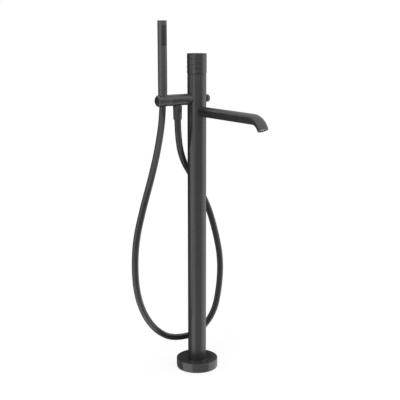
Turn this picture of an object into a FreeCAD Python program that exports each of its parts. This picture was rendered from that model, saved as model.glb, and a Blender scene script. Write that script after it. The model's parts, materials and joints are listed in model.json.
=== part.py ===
"""Floor standing bath filler with a hand shower, in millimetres.

The column stands on the floor at the origin, +Z up. The spout points along -Y, the arm with the
hand shower along -X and the diverter knob along +X.
"""
import FreeCAD
import Part
import Sketcher

import math
import os

from FreeCAD import Placement, Rotation, Vector

DOC = FreeCAD.newDocument("bath_filler")
SHEET = DOC.addObject("Spreadsheet::Sheet", "Sizes")

# Driving dimensions. A name that ends in _dia is a diameter; *_gap, *_play and *_drop are distances.
DIMENSIONS = {
    # column and control knob
    "total_height": 900.0,
    "column_dia": 52.0,
    "column_wall": 1.5,
    "knob_dia": 53.8,
    "knob_height": 53.0,
    "knob_wall": 2.4,
    "knob_gap": 2.5,
    "knob_edge": 0.6,
    "cap_thickness": 2.6,
    "cap_line": 0.7,
    "cap_spigot": 3.4,
    "groove_pitch": 13.4,
    "groove_first": 16.0,
    "groove_width": 1.5,
    "groove_depth": 1.1,
    # foot
    "cover_dia": 118.5,
    "cover_height": 26.0,
    "cover_wall": 2.0,
    "cover_edge": 0.6,
    "cover_room": 5.25,
    "plate_thickness": 8.0,
    "collar_wall": 4.95,
    "collar_room": 3.0,
    "column_seat": 4.0,
    "seat_ledge": 0.5,
    "bolt_edge": 10.0,
    "bolt_hole_dia": 9.0,
    "foot_screw_dia": 5.0,
    "foot_screw_rise": 7.0,
    "cover_seal_cord": 2.4,
    # supplies inside the column
    "supply_x": 9.0,
    "supply_y": 10.0,
    "supply_dia": 10.0,
    "supply_wall": 1.5,
    "hot_inlet_level": 12.0,
    "cold_inlet_level": 34.0,
    "inlet_flats": 19.0,
    "inlet_thread_dia": 15.0,
    "inlet_thread_length": 8.0,
    "inlet_relief_depth": 0.3,
    "inlet_relief_length": 4.0,
    "inlet_shoulder": 3.0,
    "washer_thickness": 1.6,
    # valve body and cartridge
    "body_play": 0.3,
    "body_below_spout": 28.0,
    "body_below_top": 5.5,
    "pipe_socket": 8.5,
    "cartridge_dia": 34.6,
    "cartridge_height": 30.0,
    "cartridge_neck_dia": 23.6,
    "cartridge_neck": 8.0,
    "cartridge_nut_pocket_wall": 2.65,
    "cartridge_port_depth": 4.0,
    "cartridge_nut_flats": 30.0,
    "cartridge_nut_thread": 6.0,
    "cartridge_nut_hex": 5.0,
    "cartridge_nut_recess": 1.0,
    "cartridge_play": 0.2,
    "stem_dia": 8.0,
    "stem_depth": 23.0,
    "stem_square": 5.6,
    "stem_rise": 17.0,
    "stem_shoulder": 3.0,
    "stem_end_play": 1.0,
    "adapter_hub_dia": 18.0,
    "adapter_hub_rise": 1.0,
    "adapter_disc": 8.0,
    "knob_screw_dia": 4.0,
    "chamber_dia": 10.0,
    "port_socket": 10.0,
    "port_bore_dia": 12.0,
    "glide_clearance": 0.7,
    "glide_inset": 0.5,
    "glide_depth": 4.0,
    # arm and hand shower holder
    "arm_drop": 122.3,
    "arm_dia": 30.7,
    "arm_wall": 2.0,
    "arm_reach": 130.0,
    "holder_length": 42.0,
    "holder_inset": 18.8,
    "holder_edge": 4.0,
    "holder_screw_dia": 4.0,
    "seam_line": 0.4,
    "arm_edge": 0.8,
    "bush_wall": 0.8,
    "bush_play": 0.05,
    "spigot_length": 8.0,
    "outlet_inset": 24.0,
    "outlet_block": 28.0,
    "port_shoulder": 1.0,
    "nipple_dia": 16.0,
    "nipple_bore_dia": 10.0,
    "nipple_depth": 6.0,
    "gasket_thickness": 0.9,
    "gasket_inset": 0.8,
    "press_play": 0.05,
    # hose and its nuts
    "hose_dia": 18.0,
    "nut_wall": 1.9,
    "nut_taper": 1.0,
    "nut_length": 37.0,
    "nut_bore_play": 0.5,
    "nut_edge": 0.7,
    "thread_dia": 20.7,
    "thread_length": 12.0,
    "thread_play": 0.1,
    "ferrule_thickness": 2.5,
    "seal_thickness": 2.0,
    "seal_play": 0.6,
    "nut_drop": 0.5,
    "cone_clearance": 0.3,
    # hand shower
    "handset_rise": 28.6,
    "handset_length": 181.1,
    "handset_dia": 24.7,
    "handset_wall": 1.3,
    "handset_line": 0.8,
    "handset_cap": 2.8,
    "handset_cap_gap": 0.2,
    "connector_height": 14.0,
    "check_valve_recess": 4.0,
    "check_valve_bore_dia": 3.2,
    "spray_start": 12.2,
    "spray_margin": 2.15,
    "spray_angle": 84.0,
    "spray_angle_play": 1.0,
    "nozzle_pitch": 4.83,
    "nozzle_angle": 16.5,
    "nozzle_dia": 2.0,
    "nozzle_tip_dia": 1.52,
    "nozzle_proud": 0.75,
    "mat_thickness": 1.0,
    "waterway_dia": 14.0,
    "waterway_wall": 1.5,
    "waterway_flange": 3.0,
    # spout
    "spout_drop": 156.0,
    "spout_dia": 28.0,
    "spout_wall": 2.2,
    "spout_straight": 246.0,
    "bend_radius": 42.5,
    "bend_angle": 65.0,
    "spigot_flange": 12.0,
    "spigot_groove": 2.4,
    "spigot_groove_depth": 1.9,
    "spout_screw_dia": 5.0,
    "spout_screw_bite": 1.3,
    "mouth_bore_dia": 23.8,
    "mouth_room": 0.3,
    "aerator_length": 8.0,
    "aerator_inset": 0.6,
    "aerator_ring": 1.9,
    "aerator_lip": 1.0,
    "aerator_seal": 1.5,
    "mesh_inset": 2.0,
    "mesh_pitch": 2.7,
    "mesh_hole_dia": 1.9,
    # diverter
    "diverter_dia": 21.0,
    "diverter_gap": 0.7,
    "diverter_height": 9.3,
    "diverter_edge": 1.2,
    "diverter_face": 2.5,
    "spindle_dia": 6.0,
    "spindle_play": 0.05,
    "spindle_seat_play": 0.02,
    "bonnet_dia": 14.0,
    "bonnet_flange_dia": 17.6,
    "bonnet_flange": 1.2,
    "bonnet_proud": 0.3,
    "piston_length": 6.0,
    "piston_place": -9.0,
    "piston_groove_depth": 1.0,
    "diverter_travel": 8.0,
    "spring_room": 7.0,
    "spring_wire_dia": 0.8,
}
BOLTS = 4
FOOT_SCREWS = 3
GROOVES = 3
NOZZLE_ROWS = 11
NOZZLES_EACH_SIDE = 2
SPRING_TURNS = 5
MESH_RINGS = 3

# The hose's route from the outlet nut to the hand shower, between its two vertical ends: points
# chosen by hand, as (x, y, z). It swings round the back of the column and out past the arm.
HOSE_ROUTE = [
    (-64, 0, 687),
    (-29, 33, 611),
    (21, 51, 550),
    (59, 32, 472),
    (84, 26, 388),
    (101, 23, 305),
    (102, 28, 220),
    (87, 35, 131),
    (29, 41, 78),
    (-54, 48, 79),
    (-127, 19, 128),
    (-180, -6, 190),
    (-218, -31, 262),
    (-239, -54, 342),
    (-238, -61, 426),
    (-215, -61, 508),
    (-180, -49, 585),
    (-145, -29, 660),
    (-111.2, 0, 740),
]
HOSE_RADIUS_SHARE = 0.45


class Dim:
    """A size that knows its number and the sheet expression that it comes from."""

    def __init__(self, text, value):
        self.text = text
        self.value = value

    def joined(self, sign, other, value):
        text = other.text if isinstance(other, Dim) else repr(float(other))
        return Dim(f"({self.text} {sign} {text})", value)

    def __add__(self, other):
        return self.joined("+", other, self.value + number(other))

    def __sub__(self, other):
        return self.joined("-", other, self.value - number(other))

    def __mul__(self, other):
        return self.joined("*", other, self.value * number(other))

    def __truediv__(self, other):
        return self.joined("/", other, self.value / number(other))

    def __neg__(self):
        return Dim(f"(0 - {self.text})", -self.value)


class Names:
    """The sheet's sizes, each under its own name."""


def number(size):
    return size.value if isinstance(size, Dim) else float(size)


def fill_sheet(dimensions):
    names = Names()
    for row, (alias, value) in enumerate(dimensions.items(), start=1):
        SHEET.set(f"A{row}", alias.replace("_", " "))
        SHEET.set(f"B{row}", str(value))
        SHEET.setAlias(f"B{row}", alias)
        setattr(names, alias, Dim(f"Sizes.{alias}", value))
    DOC.recompute()
    return names


D = fill_sheet(DIMENSIONS)
ZERO = Dim("0", 0.0)

# Radii and levels that several pieces share.
column_r = D.column_dia / 2
column_bore_r = column_r - D.column_wall
column_top = D.total_height - D.knob_height - D.knob_gap
column_fit_r = column_r + D.press_play
collar_r = column_fit_r + D.collar_wall
cover_inside_r = D.cover_dia / 2 - D.cover_wall
cover_inside_top = D.cover_height - D.cover_wall
plate_r = cover_inside_r - D.cover_room
bolt_circle_r = plate_r - D.bolt_edge
knob_bottom = D.total_height - D.knob_height
knob_r = D.knob_dia / 2
knob_bore_r = knob_r - D.knob_wall
arm_level = D.total_height - D.arm_drop
arm_r = D.arm_dia / 2
arm_bore_r = arm_r - D.arm_wall
arm_seam = D.arm_reach - D.holder_length
holder_reach = D.arm_reach - D.holder_inset
outlet_reach = arm_seam - D.outlet_inset
spout_level = D.total_height - D.spout_drop
spout_r = D.spout_dia / 2
spout_bore_r = spout_r - D.spout_wall
mouth_depth = D.aerator_inset + D.aerator_length + D.aerator_seal + D.mouth_room
body_r = column_bore_r - D.body_play
body_bottom = spout_level - D.body_below_spout
body_top = column_top - D.body_below_top
cartridge_top = body_top - D.cartridge_nut_thread - D.cartridge_nut_recess
cartridge_bottom = cartridge_top - D.cartridge_height
cartridge_r = D.cartridge_dia / 2
nut_pocket_r = body_r - D.cartridge_nut_pocket_wall
stem_r = D.stem_dia / 2
chamber_r = D.chamber_dia / 2
chamber_front = D.piston_place + D.piston_length + D.diverter_travel + D.spring_room
nipple_r = D.nipple_dia / 2
nipple_bore_r = D.nipple_bore_dia / 2
socket_end = body_r - D.port_socket
handset_foot = arm_level + D.handset_rise
handset_top = handset_foot + D.handset_length
handset_r = D.handset_dia / 2
handset_bore_r = handset_r - D.handset_wall
thread_r = D.thread_dia / 2
thread_bore_r = thread_r + D.thread_play
nut_r = thread_bore_r + D.nut_wall
nut_end_r = nut_r - D.nut_taper
nut_bore_r = D.hose_dia / 2 + D.nut_bore_play
holder_bore_r = nut_r + D.bush_wall
outlet_nut_top = arm_level - arm_r - D.nut_drop
spindle_r = D.spindle_dia / 2
bonnet_top = column_r + D.bonnet_proud + D.bonnet_flange
diverter_end = bonnet_top + D.diverter_gap + D.diverter_height
saddle_r = column_r + D.gasket_thickness


def bind(thing, path, size):
    """Give a property its number, tied to the sheet where the size comes from there."""
    if isinstance(size, Dim):
        thing.setExpression(path, size.text)
    elif "." not in path:
        setattr(thing, path, size)


# Places that pieces are built from: each gives an origin, and the way that local +Z points.
STATIONS = {
    "column": ((ZERO, ZERO, ZERO), Rotation()),
    "arm": ((ZERO, ZERO, arm_level), Rotation(Vector(0, 1, 0), -90)),
    "diverter": ((ZERO, ZERO, arm_level), Rotation(Vector(0, 1, 0), 90)),
    "spout": ((ZERO, ZERO, spout_level), Rotation(Vector(1, 0, 0), 90)),
    "outlet": ((-outlet_reach, ZERO, ZERO), Rotation()),
    "handset": ((-holder_reach, ZERO, ZERO), Rotation()),
    "hot": ((-D.supply_x, D.supply_y, ZERO), Rotation()),
    "cold": ((D.supply_x, D.supply_y, ZERO), Rotation()),
}


def seat(thing, station):
    origin, turn = STATIONS[station]
    thing.Placement = Placement(Vector(*[c.value for c in origin]), turn)
    for axis, size in zip("xyz", origin):
        if size.text != "0":
            thing.setExpression(f"Placement.Base.{axis}", size.text)
    return thing


def at(thing, x=ZERO, y=ZERO, z=ZERO, turn=Rotation()):
    thing.Placement = Placement(Vector(number(x), number(y), number(z)), turn)
    for axis, size in zip("xyz", (x, y, z)):
        if isinstance(size, Dim) and size.text != "0":
            thing.setExpression(f"Placement.Base.{axis}", size.text)
    return thing


def add(kind, name):
    return DOC.addObject(kind, name)


def origin_plane(body, role):
    return next(f for f in body.Origin.OriginFeatures if f.Role == role)


def bound_polygon(sketch, corners):
    """A closed outline through corners, each held by its two distances from the origin."""
    points = [Vector(number(a), number(b), 0) for a, b in corners]
    last = len(points) - 1
    for i, point in enumerate(points):
        sketch.addGeometry(Part.LineSegment(point, points[0 if i == last else i + 1]), False)
    for i in range(len(points)):
        sketch.addConstraint(Sketcher.Constraint("Coincident", i, 2, 0 if i == last else i + 1, 1))
    for i, corner in enumerate(corners):
        for kind, line, size in zip(("DistanceX", "DistanceY"), (-2, -1), corner):
            if number(size) == 0.0:
                sketch.addConstraint(Sketcher.Constraint("PointOnObject", i, 1, line))
                continue
            datum = sketch.addConstraint(Sketcher.Constraint(kind, -1, 1, i, 1, number(size)))
            if isinstance(size, Dim):
                sketch.setExpression(f"Constraints[{datum}]", size.text)


def turned(name, corners, station="column"):
    """A turned piece: an outline of (radius, height) corners revolved round the station's axis."""
    body = add("PartDesign::Body", name)
    sketch = body.newObject("Sketcher::SketchObject", f"{name}_outline")
    sketch.AttachmentSupport = [(origin_plane(body, "XZ_Plane"), "")]
    sketch.MapMode = "FlatFace"
    bound_polygon(sketch, corners)
    spin = body.newObject("PartDesign::Revolution", f"{name}_turn")
    spin.Profile = (sketch, [""])
    spin.ReferenceAxis = (sketch, ["V_Axis"])
    spin.Angle = 360.0
    body.Tip = spin
    return seat(body, station)


def rod(name, radius, length):
    cylinder = add("Part::Cylinder", name)
    bind(cylinder, "Radius", radius)
    bind(cylinder, "Height", length)
    return cylinder


def less(name, base, *tools):
    """base with every tool cut away."""
    tool = tools[0] if len(tools) == 1 else joined(f"{name}_tools", *tools)
    cut = add("Part::Cut", name)
    cut.Base = base
    cut.Tool = tool
    return cut


def joined(name, *things):
    fuse = add("Part::MultiFuse", name)
    fuse.Shapes = list(things)
    return fuse


def shared(name, first, second):
    common = add("Part::Common", name)
    common.Base = first
    common.Tool = second
    return common


def group(name, things):
    compound = add("Part::Compound", name)
    compound.Links = list(things)
    return compound


SUBPARTS = {}


def finished(node, thing):
    """Name the object after its sub-part and keep it for export."""
    thing.Label = node
    SUBPARTS[node] = thing
    return thing


def ring(node, inner, outer, low, high, station="column"):
    corners = [(inner, low), (outer, low), (outer, high), (inner, high)]
    return finished(node, turned(f"{node}_body", corners, station))


def column_cutter(name, radius):
    """A rod on the column's axis, which shapes whatever is fitted to the column."""
    return rod(name, radius, D.total_height)


def cross_hole(name, radius, length, station, start=ZERO):
    """A rod along a station's axis that starts some way out from the column's axis."""
    hole = rod(name, radius, length)
    origin, turn = STATIONS[station]
    way = turn.multVec(Vector(0, 0, 1))
    shifted = [origin[i] + start * round(way[i]) for i in range(3)]
    return at(hole, *shifted, turn)


def hexagon(name, flats, height, station, low, turn=0.0):
    prism = add("Part::Prism", name)
    prism.Polygon = 6
    bind(prism, "Circumradius", flats / math.sqrt(3))
    bind(prism, "Height", height)
    origin, _ = STATIONS[station]
    return at(prism, origin[0], origin[1], low, Rotation(Vector(0, 0, 1), turn))


# ---------------------------------------------------------------- foot


def floor_plate():
    """The plate that is bolted to the floor, with a shallow seat for the column."""
    ledge_r = column_bore_r - D.seat_ledge
    outline = [
        (ledge_r, ZERO),
        (plate_r, ZERO),
        (plate_r, D.plate_thickness),
        (column_fit_r, D.plate_thickness),
        (column_fit_r, D.column_seat),
        (ledge_r, D.column_seat),
    ]
    blank = turned("plate_blank", outline)
    tools = []
    for i in range(BOLTS):
        turn = Rotation(Vector(0, 0, 1), 45 + i * 360 / BOLTS)
        hole = rod(f"bolt_hole_{i}", D.bolt_hole_dia / 2, D.plate_thickness)
        way = turn.multVec(Vector(1, 0, 0))
        tools.append(at(hole, bolt_circle_r * way.x, bolt_circle_r * way.y))
    return finished("floor_plate", less("plate", blank, *tools))


def foot_collar():
    """The collar on the plate that holds the column upright with its grub screws."""
    top = cover_inside_top - D.collar_room
    outline = [
        (column_fit_r, D.plate_thickness),
        (collar_r, D.plate_thickness),
        (collar_r, top),
        (column_fit_r, top),
    ]
    holes = foot_screw_rods("foot_screw_hole", D.foot_screw_dia / 2)
    return finished("foot_collar", less("collar", turned("collar_blank", outline), *holes))


def foot_screw_rods(name, radius):
    """Rods that point inwards through the collar, evenly spaced round it."""
    rods = []
    for i in range(FOOT_SCREWS):
        angle = 90 + i * 360 / FOOT_SCREWS
        way = Rotation(Vector(0, 0, 1), angle).multVec(Vector(1, 0, 0))
        bar = rod(f"{name}_{i}", radius, D.collar_wall)
        turn = Rotation(Vector(0, 0, 1), way)
        level = D.plate_thickness + D.foot_screw_rise
        rods.append(at(bar, column_fit_r * way.x, column_fit_r * way.y, level, turn))
    return rods


def foot_screws():
    rods = foot_screw_rods("foot_screw", D.foot_screw_dia / 2 - D.press_play)
    return finished("foot_grub_screws", group("foot_screw_set", rods))


def base_cover():
    """The pressed cover, as its two walls: the flat top round the column and the skirt below it."""
    outer = D.cover_dia / 2
    hole = column_r + D.body_play
    outline = [
        (hole, cover_inside_top),
        (outer, cover_inside_top),
        (outer, D.cover_height - D.cover_edge),
        (outer - D.cover_edge, D.cover_height),
        (hole, D.cover_height),
    ]
    finished("base_cover", turned("cover_top", outline))
    return ring("cover_skirt", cover_inside_r, outer, ZERO, cover_inside_top)


def cover_seal():
    """The O-ring that grips the column inside the cover."""
    cord = D.cover_seal_cord / 2
    torus = add("Part::Torus", "cover_seal_ring")
    bind(torus, "Radius1", column_fit_r + cord)
    bind(torus, "Radius2", cord)
    at(torus, z=cover_inside_top - cord - D.press_play)
    return finished("cover_seal", torus)


# ---------------------------------------------------------------- column and its inside


def column_tube():
    outline = [
        (column_bore_r, D.column_seat),
        (column_r, D.column_seat),
        (column_r, column_top),
        (column_bore_r, column_top),
    ]
    blank = turned("column_blank", outline)
    holes = [
        cross_hole("arm_hole", nipple_r + D.body_play, D.column_dia, "arm"),
        cross_hole("spout_hole", nipple_r + D.body_play, D.column_dia, "spout"),
        cross_hole("diverter_hole", D.bonnet_dia / 2 + D.body_play, D.column_dia, "diverter"),
    ]
    return finished("column_tube", less("column", blank, *holes))


def supply(side, level):
    """One supply: a union nut at the foot, its washer, and a pipe up to the valve body."""
    relief = level + D.inlet_thread_length
    collar = relief + D.washer_thickness
    shoulder = relief + D.inlet_relief_length
    pipe_r = D.supply_dia / 2
    pipe_bore_r = pipe_r - D.supply_wall
    collar_r = D.inlet_thread_dia / 2 - D.body_play
    pipe_top = body_bottom + D.pipe_socket - D.body_play
    outline = [
        (pipe_bore_r, collar),
        (collar_r, collar),
        (collar_r, shoulder - D.press_play),
        (pipe_r, shoulder - D.press_play),
        (pipe_r, pipe_top),
        (pipe_bore_r, pipe_top),
    ]
    finished(f"{side}_supply_pipe", turned(f"{side}_pipe", outline, side))
    height = D.inlet_thread_length + D.inlet_relief_length + D.inlet_shoulder
    lean = math.degrees(math.atan2(D.supply_y.value, D.supply_x.value))
    turn = lean + 30 if side == "cold" else 180 - lean + 30
    relief_r = D.inlet_thread_dia / 2 + D.inlet_relief_depth
    prism = hexagon(f"{side}_hexagon", D.inlet_flats, height, side, level, turn)
    bore_outline = [
        (ZERO, level),
        (D.inlet_thread_dia / 2, level),
        (D.inlet_thread_dia / 2, relief),
        (relief_r, relief),
        (relief_r, shoulder),
        (pipe_r + D.press_play, shoulder),
        (pipe_r + D.press_play, level + height),
        (ZERO, level + height),
    ]
    bore = turned(f"{side}_nut_bore", bore_outline, side)
    finished(f"{side}_inlet_nut", less(f"{side}_nut", prism, bore))
    washer = [(pipe_bore_r, relief), (collar_r, relief), (collar_r, collar), (pipe_bore_r, collar)]
    return turned(f"{side}_washer", washer, side)


def supplies():
    washers = [supply("hot", D.hot_inlet_level), supply("cold", D.cold_inlet_level)]
    return finished("inlet_washers", group("inlet_washer_set", washers))


def valve_body():
    """The brass body in the top of the column: cartridge pocket, diverter chamber and ports."""
    pocket_r = cartridge_r + D.cartridge_play
    outline = [
        (ZERO, body_bottom),
        (body_r, body_bottom),
        (body_r, body_top),
        (nut_pocket_r, body_top),
        (nut_pocket_r, cartridge_top),
        (pocket_r, cartridge_top),
        (pocket_r, cartridge_bottom),
        (ZERO, cartridge_bottom),
    ]
    blank = turned("body_blank", outline)
    passage_r = D.supply_dia / 2 - D.supply_wall
    tools = []
    for side, x in (("hot", -D.supply_x), ("cold", D.supply_x)):
        socket = rod(f"{side}_socket", D.supply_dia / 2 + D.press_play, D.pipe_socket)
        tools.append(at(socket, x, D.supply_y, body_bottom))
        riser = rod(f"{side}_riser", passage_r, cartridge_bottom - body_bottom)
        tools.append(at(riser, x, D.supply_y, body_bottom))
    mixed = rod("mixed_drop", passage_r, cartridge_bottom - arm_level)
    tools.append(at(mixed, z=arm_level))
    drop = rod("spout_drop", passage_r, arm_level - spout_level)
    tools.append(at(drop, x=passage_r, z=spout_level))
    reach = chamber_front + body_r
    tools.append(cross_hole("chamber", chamber_r, reach, "diverter", -body_r))
    bonnet_r = D.bonnet_dia / 2 + D.press_play
    tools.append(cross_hole("bonnet_socket", bonnet_r, body_r, "diverter", chamber_front))
    socket_r = nipple_r + D.press_play
    tools.append(cross_hole("arm_socket", socket_r, body_r, "arm", socket_end))
    tools.append(cross_hole("spout_socket", socket_r, body_r, "spout", socket_end))
    tools.append(cross_hole("spout_port", D.port_bore_dia / 2, body_r, "spout"))
    return finished("valve_body", less("body", blank, *tools))


def cartridge():
    neck_r = D.cartridge_neck_dia / 2
    neck_top = cartridge_top + D.cartridge_neck
    stem_bottom = neck_top - D.stem_depth - D.stem_end_play
    bore_r = stem_r + D.press_play
    low = cartridge_bottom + D.cartridge_play
    high = cartridge_top - D.cartridge_play
    outline = [
        (ZERO, low),
        (cartridge_r, low),
        (cartridge_r, high),
        (neck_r, high),
        (neck_r, neck_top),
        (bore_r, neck_top),
        (bore_r, stem_bottom),
        (ZERO, stem_bottom),
    ]
    blank = turned("cartridge_blank", outline)
    places = {
        "hot": (-D.supply_x, D.supply_y),
        "cold": (D.supply_x, D.supply_y),
        "mixed": (ZERO, ZERO),
    }
    ports = []
    for name, (x, y) in places.items():
        port_r = D.supply_dia / 2 - D.supply_wall
        port = rod(f"{name}_cartridge_port", port_r, D.cartridge_port_depth)
        ports.append(at(port, x, y, low))
    finished("cartridge", less("cartridge_cut", blank, *ports))
    thread_top = cartridge_top + D.cartridge_nut_thread
    hex_top = thread_top + D.cartridge_nut_hex
    nut_bore_radius = neck_r + D.cartridge_play
    ring_r = nut_pocket_r - D.press_play
    thread_ring = rod("cartridge_nut_ring", ring_r, D.cartridge_nut_thread)
    at(thread_ring, z=cartridge_top)
    flats = D.cartridge_nut_flats
    head = hexagon("cartridge_nut_head", flats, D.cartridge_nut_hex, "column", thread_top)
    bore = rod("cartridge_nut_bore", nut_bore_radius, hex_top - cartridge_top)
    at(bore, z=cartridge_top)
    nut = less("cartridge_nut_cut", joined("cartridge_nut_solid", thread_ring, head), bore)
    finished("cartridge_nut", nut)
    return neck_top


def cartridge_stem(neck_top):
    """The stem that the knob turns: round in the cartridge, square above it."""
    low = neck_top - D.stem_depth
    square_from = neck_top + D.stem_shoulder
    high = neck_top + D.stem_rise
    round_part = at(rod("stem_round", stem_r, square_from - low), z=low)
    square = box("stem_square_end", D.stem_square, square_from, high)
    finished("cartridge_stem", joined("stem", round_part, square))
    return high


def box(name, side, low, high):
    """A square bar on the column's axis."""
    bar = add("Part::Box", name)
    bind(bar, "Length", side)
    bind(bar, "Width", side)
    bind(bar, "Height", high - low)
    return at(bar, -side / 2, -side / 2, low)


def glide_ring():
    """The plastic ring that closes the column's top and centres the knob's skirt."""
    bore = D.cartridge_nut_flats / math.sqrt(3) + D.glide_clearance
    inner_r = column_bore_r - D.press_play
    flange_r = column_r - D.glide_inset
    foot = column_top - D.glide_depth
    outline = [
        (bore, foot),
        (inner_r, foot),
        (inner_r, column_top),
        (flange_r, column_top),
        (flange_r, knob_bottom - D.body_play),
        (bore, knob_bottom - D.body_play),
    ]
    return finished("glide_ring", turned("glide", outline))


# ---------------------------------------------------------------- knob


def knob(stem_top):
    shell_top = D.total_height - D.cap_thickness - D.cap_line
    outer = [(knob_r - D.knob_edge, knob_bottom), (knob_r, knob_bottom + D.knob_edge)]
    for i in reversed(range(GROOVES)):
        middle = D.total_height - D.groove_first - D.groove_pitch * i
        low = middle - D.groove_width / 2
        high = middle + D.groove_width / 2
        floor = knob_r - D.groove_depth
        outer += [(knob_r, low), (floor, low), (floor, high), (knob_r, high)]
    outline = [(knob_bore_r, knob_bottom), *outer, (knob_r, shell_top), (knob_bore_r, shell_top)]
    shell = turned("knob_shell_blank", outline)
    hub_low = knob_bottom + D.adapter_hub_rise
    last_land = D.total_height - D.groove_first - D.groove_pitch * (GROOVES - 1.5)
    disc_low = last_land - D.adapter_disc / 2
    disc_top = disc_low + D.adapter_disc
    disc_r = knob_bore_r - D.press_play
    hub_r = D.adapter_hub_dia / 2
    adapter_outline = [
        (ZERO, hub_low),
        (hub_r, hub_low),
        (hub_r, disc_low),
        (disc_r, disc_low),
        (disc_r, disc_top),
        (ZERO, disc_top),
    ]
    adapter = turned("adapter_blank", adapter_outline)
    play = D.press_play * 2
    broach = box("adapter_broach", D.stem_square + play, hub_low, stem_top + play)
    screw_r = D.knob_screw_dia / 2
    screw_start = disc_r - D.adapter_hub_dia / 2
    screw_length = knob_r - screw_start - D.groove_depth

    def pointing_back(name, radius, length):
        back = Rotation(Vector(1, 0, 0), -90)
        return at(rod(name, radius, length), y=screw_start, z=last_land, turn=back)

    shell_hole = pointing_back("shell_screw_hole", screw_r, D.knob_dia)
    disc_hole = pointing_back("disc_screw_hole", screw_r, D.knob_dia)
    screw = pointing_back("knob_screw", screw_r - D.press_play, screw_length)
    finished("knob_shell", less("knob_shell_cut", shell, shell_hole))
    finished("knob_adapter", less("knob_adapter_cut", adapter, broach, disc_hole))
    finished("knob_grub_screw", screw)
    cap_low = D.total_height - D.cap_thickness
    cap_outline = [
        (ZERO, cap_low - D.cap_spigot),
        (disc_r, cap_low - D.cap_spigot),
        (disc_r, cap_low),
        (knob_r, cap_low),
        (knob_r, D.total_height - D.knob_edge),
        (knob_r - D.knob_edge, D.total_height),
        (ZERO, D.total_height),
    ]
    return finished("knob_cap", turned("knob_cap_body", cap_outline))


# ---------------------------------------------------------------- spout


def bent_rod(name, radius):
    """A rod that runs straight out along the spout's axis and then bends down."""
    straight = cross_hole(f"{name}_run", radius, D.spout_straight, "spout")
    bend = add("Part::Torus", f"{name}_bend")
    bind(bend, "Radius1", D.bend_radius)
    bind(bend, "Radius2", radius)
    bind(bend, "Angle3", D.bend_angle)
    turn = Rotation(Vector(0, 0, 1), Vector(0, -1, 0), Vector(1, 0, 0))
    at(bend, y=-D.spout_straight, z=spout_level - D.bend_radius, turn=turn)
    return joined(name, straight, bend)


def mouth_place(out=0.0):
    """The middle of the spout's mouth, or a point out from it along the stream."""
    bend = math.radians(D.bend_angle.value)
    y = -(D.spout_straight.value + D.bend_radius.value * math.sin(bend) + out * math.cos(bend))
    z = spout_level.value - D.bend_radius.value * (1 - math.cos(bend)) - out * math.sin(bend)
    turn = Rotation(Vector(1, 0, 0), 90 + D.bend_angle.value)
    return Placement(Vector(0, y, z), turn)


def seat_in_mouth(thing):
    thing.Placement = mouth_place()
    return thing


def spout():
    outer = bent_rod("spout_outside", spout_r)
    inner = bent_rod("spout_inside", spout_bore_r)
    saddle = column_cutter("spout_saddle", saddle_r)
    mouth_r = D.mouth_bore_dia / 2
    mouth = add("Part::Cylinder", "mouth_bore")
    bind(mouth, "Radius", mouth_r)
    bind(mouth, "Height", mouth_depth * 2)
    mouth.Placement = mouth_place(-mouth_depth.value)
    screw_place = socket_end + D.spigot_flange + D.spigot_flange
    screw_r = D.spout_screw_dia / 2
    hole = rod("spout_screw_hole", screw_r, spout_r * 2)
    at(hole, y=-screw_place, z=spout_level - spout_r * 2)
    finished("spout_tube", less("spout_cut", outer, inner, saddle, mouth, hole))
    spigot(screw_place)
    screw_length = D.spout_wall + D.spout_screw_bite - D.body_play
    screw = rod("spout_screw", screw_r - D.press_play, screw_length)
    at(screw, y=-screw_place, z=spout_level - spout_r + D.body_play)
    finished("spout_grub_screw", screw)
    aerator(mouth_r)


def spigot(screw_place):
    """The brass spigot that the spout slides over, with a flat-bottomed groove for its O-ring."""
    flange_r = spout_bore_r - D.body_play
    flange_from = screw_place - D.spigot_flange / 2
    groove_from = flange_from + D.spigot_flange
    groove_to = groove_from + D.spigot_groove
    end = groove_to + D.spigot_groove
    groove_r = flange_r - D.spigot_groove_depth
    outline = [
        (nipple_bore_r, socket_end),
        (nipple_r, socket_end),
        (nipple_r, flange_from),
        (flange_r, flange_from),
        (flange_r, groove_from),
        (groove_r, groove_from),
        (groove_r, groove_to),
        (flange_r, groove_to),
        (flange_r, end),
        (nipple_bore_r, end),
    ]
    blank = turned("spout_spigot_blank", outline, "spout")
    dimple = rod("spigot_dimple", D.spout_screw_dia / 2, spout_r)
    dimple_top = spout_level - spout_bore_r + D.spout_screw_bite + D.body_play
    at(dimple, y=-screw_place, z=dimple_top - spout_r)
    finished("spout_spigot", less("spout_spigot_cut", blank, dimple))
    cord = (spout_bore_r - groove_r - D.press_play * 2) / 2
    torus = add("Part::Torus", "spout_o_ring_body")
    bind(torus, "Radius1", groove_r + D.press_play + cord)
    bind(torus, "Radius2", cord)
    middle = (groove_from + groove_to) / 2
    at(torus, y=-middle, z=spout_level, turn=Rotation(Vector(1, 0, 0), 90))
    finished("spout_o_ring", torus)


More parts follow.
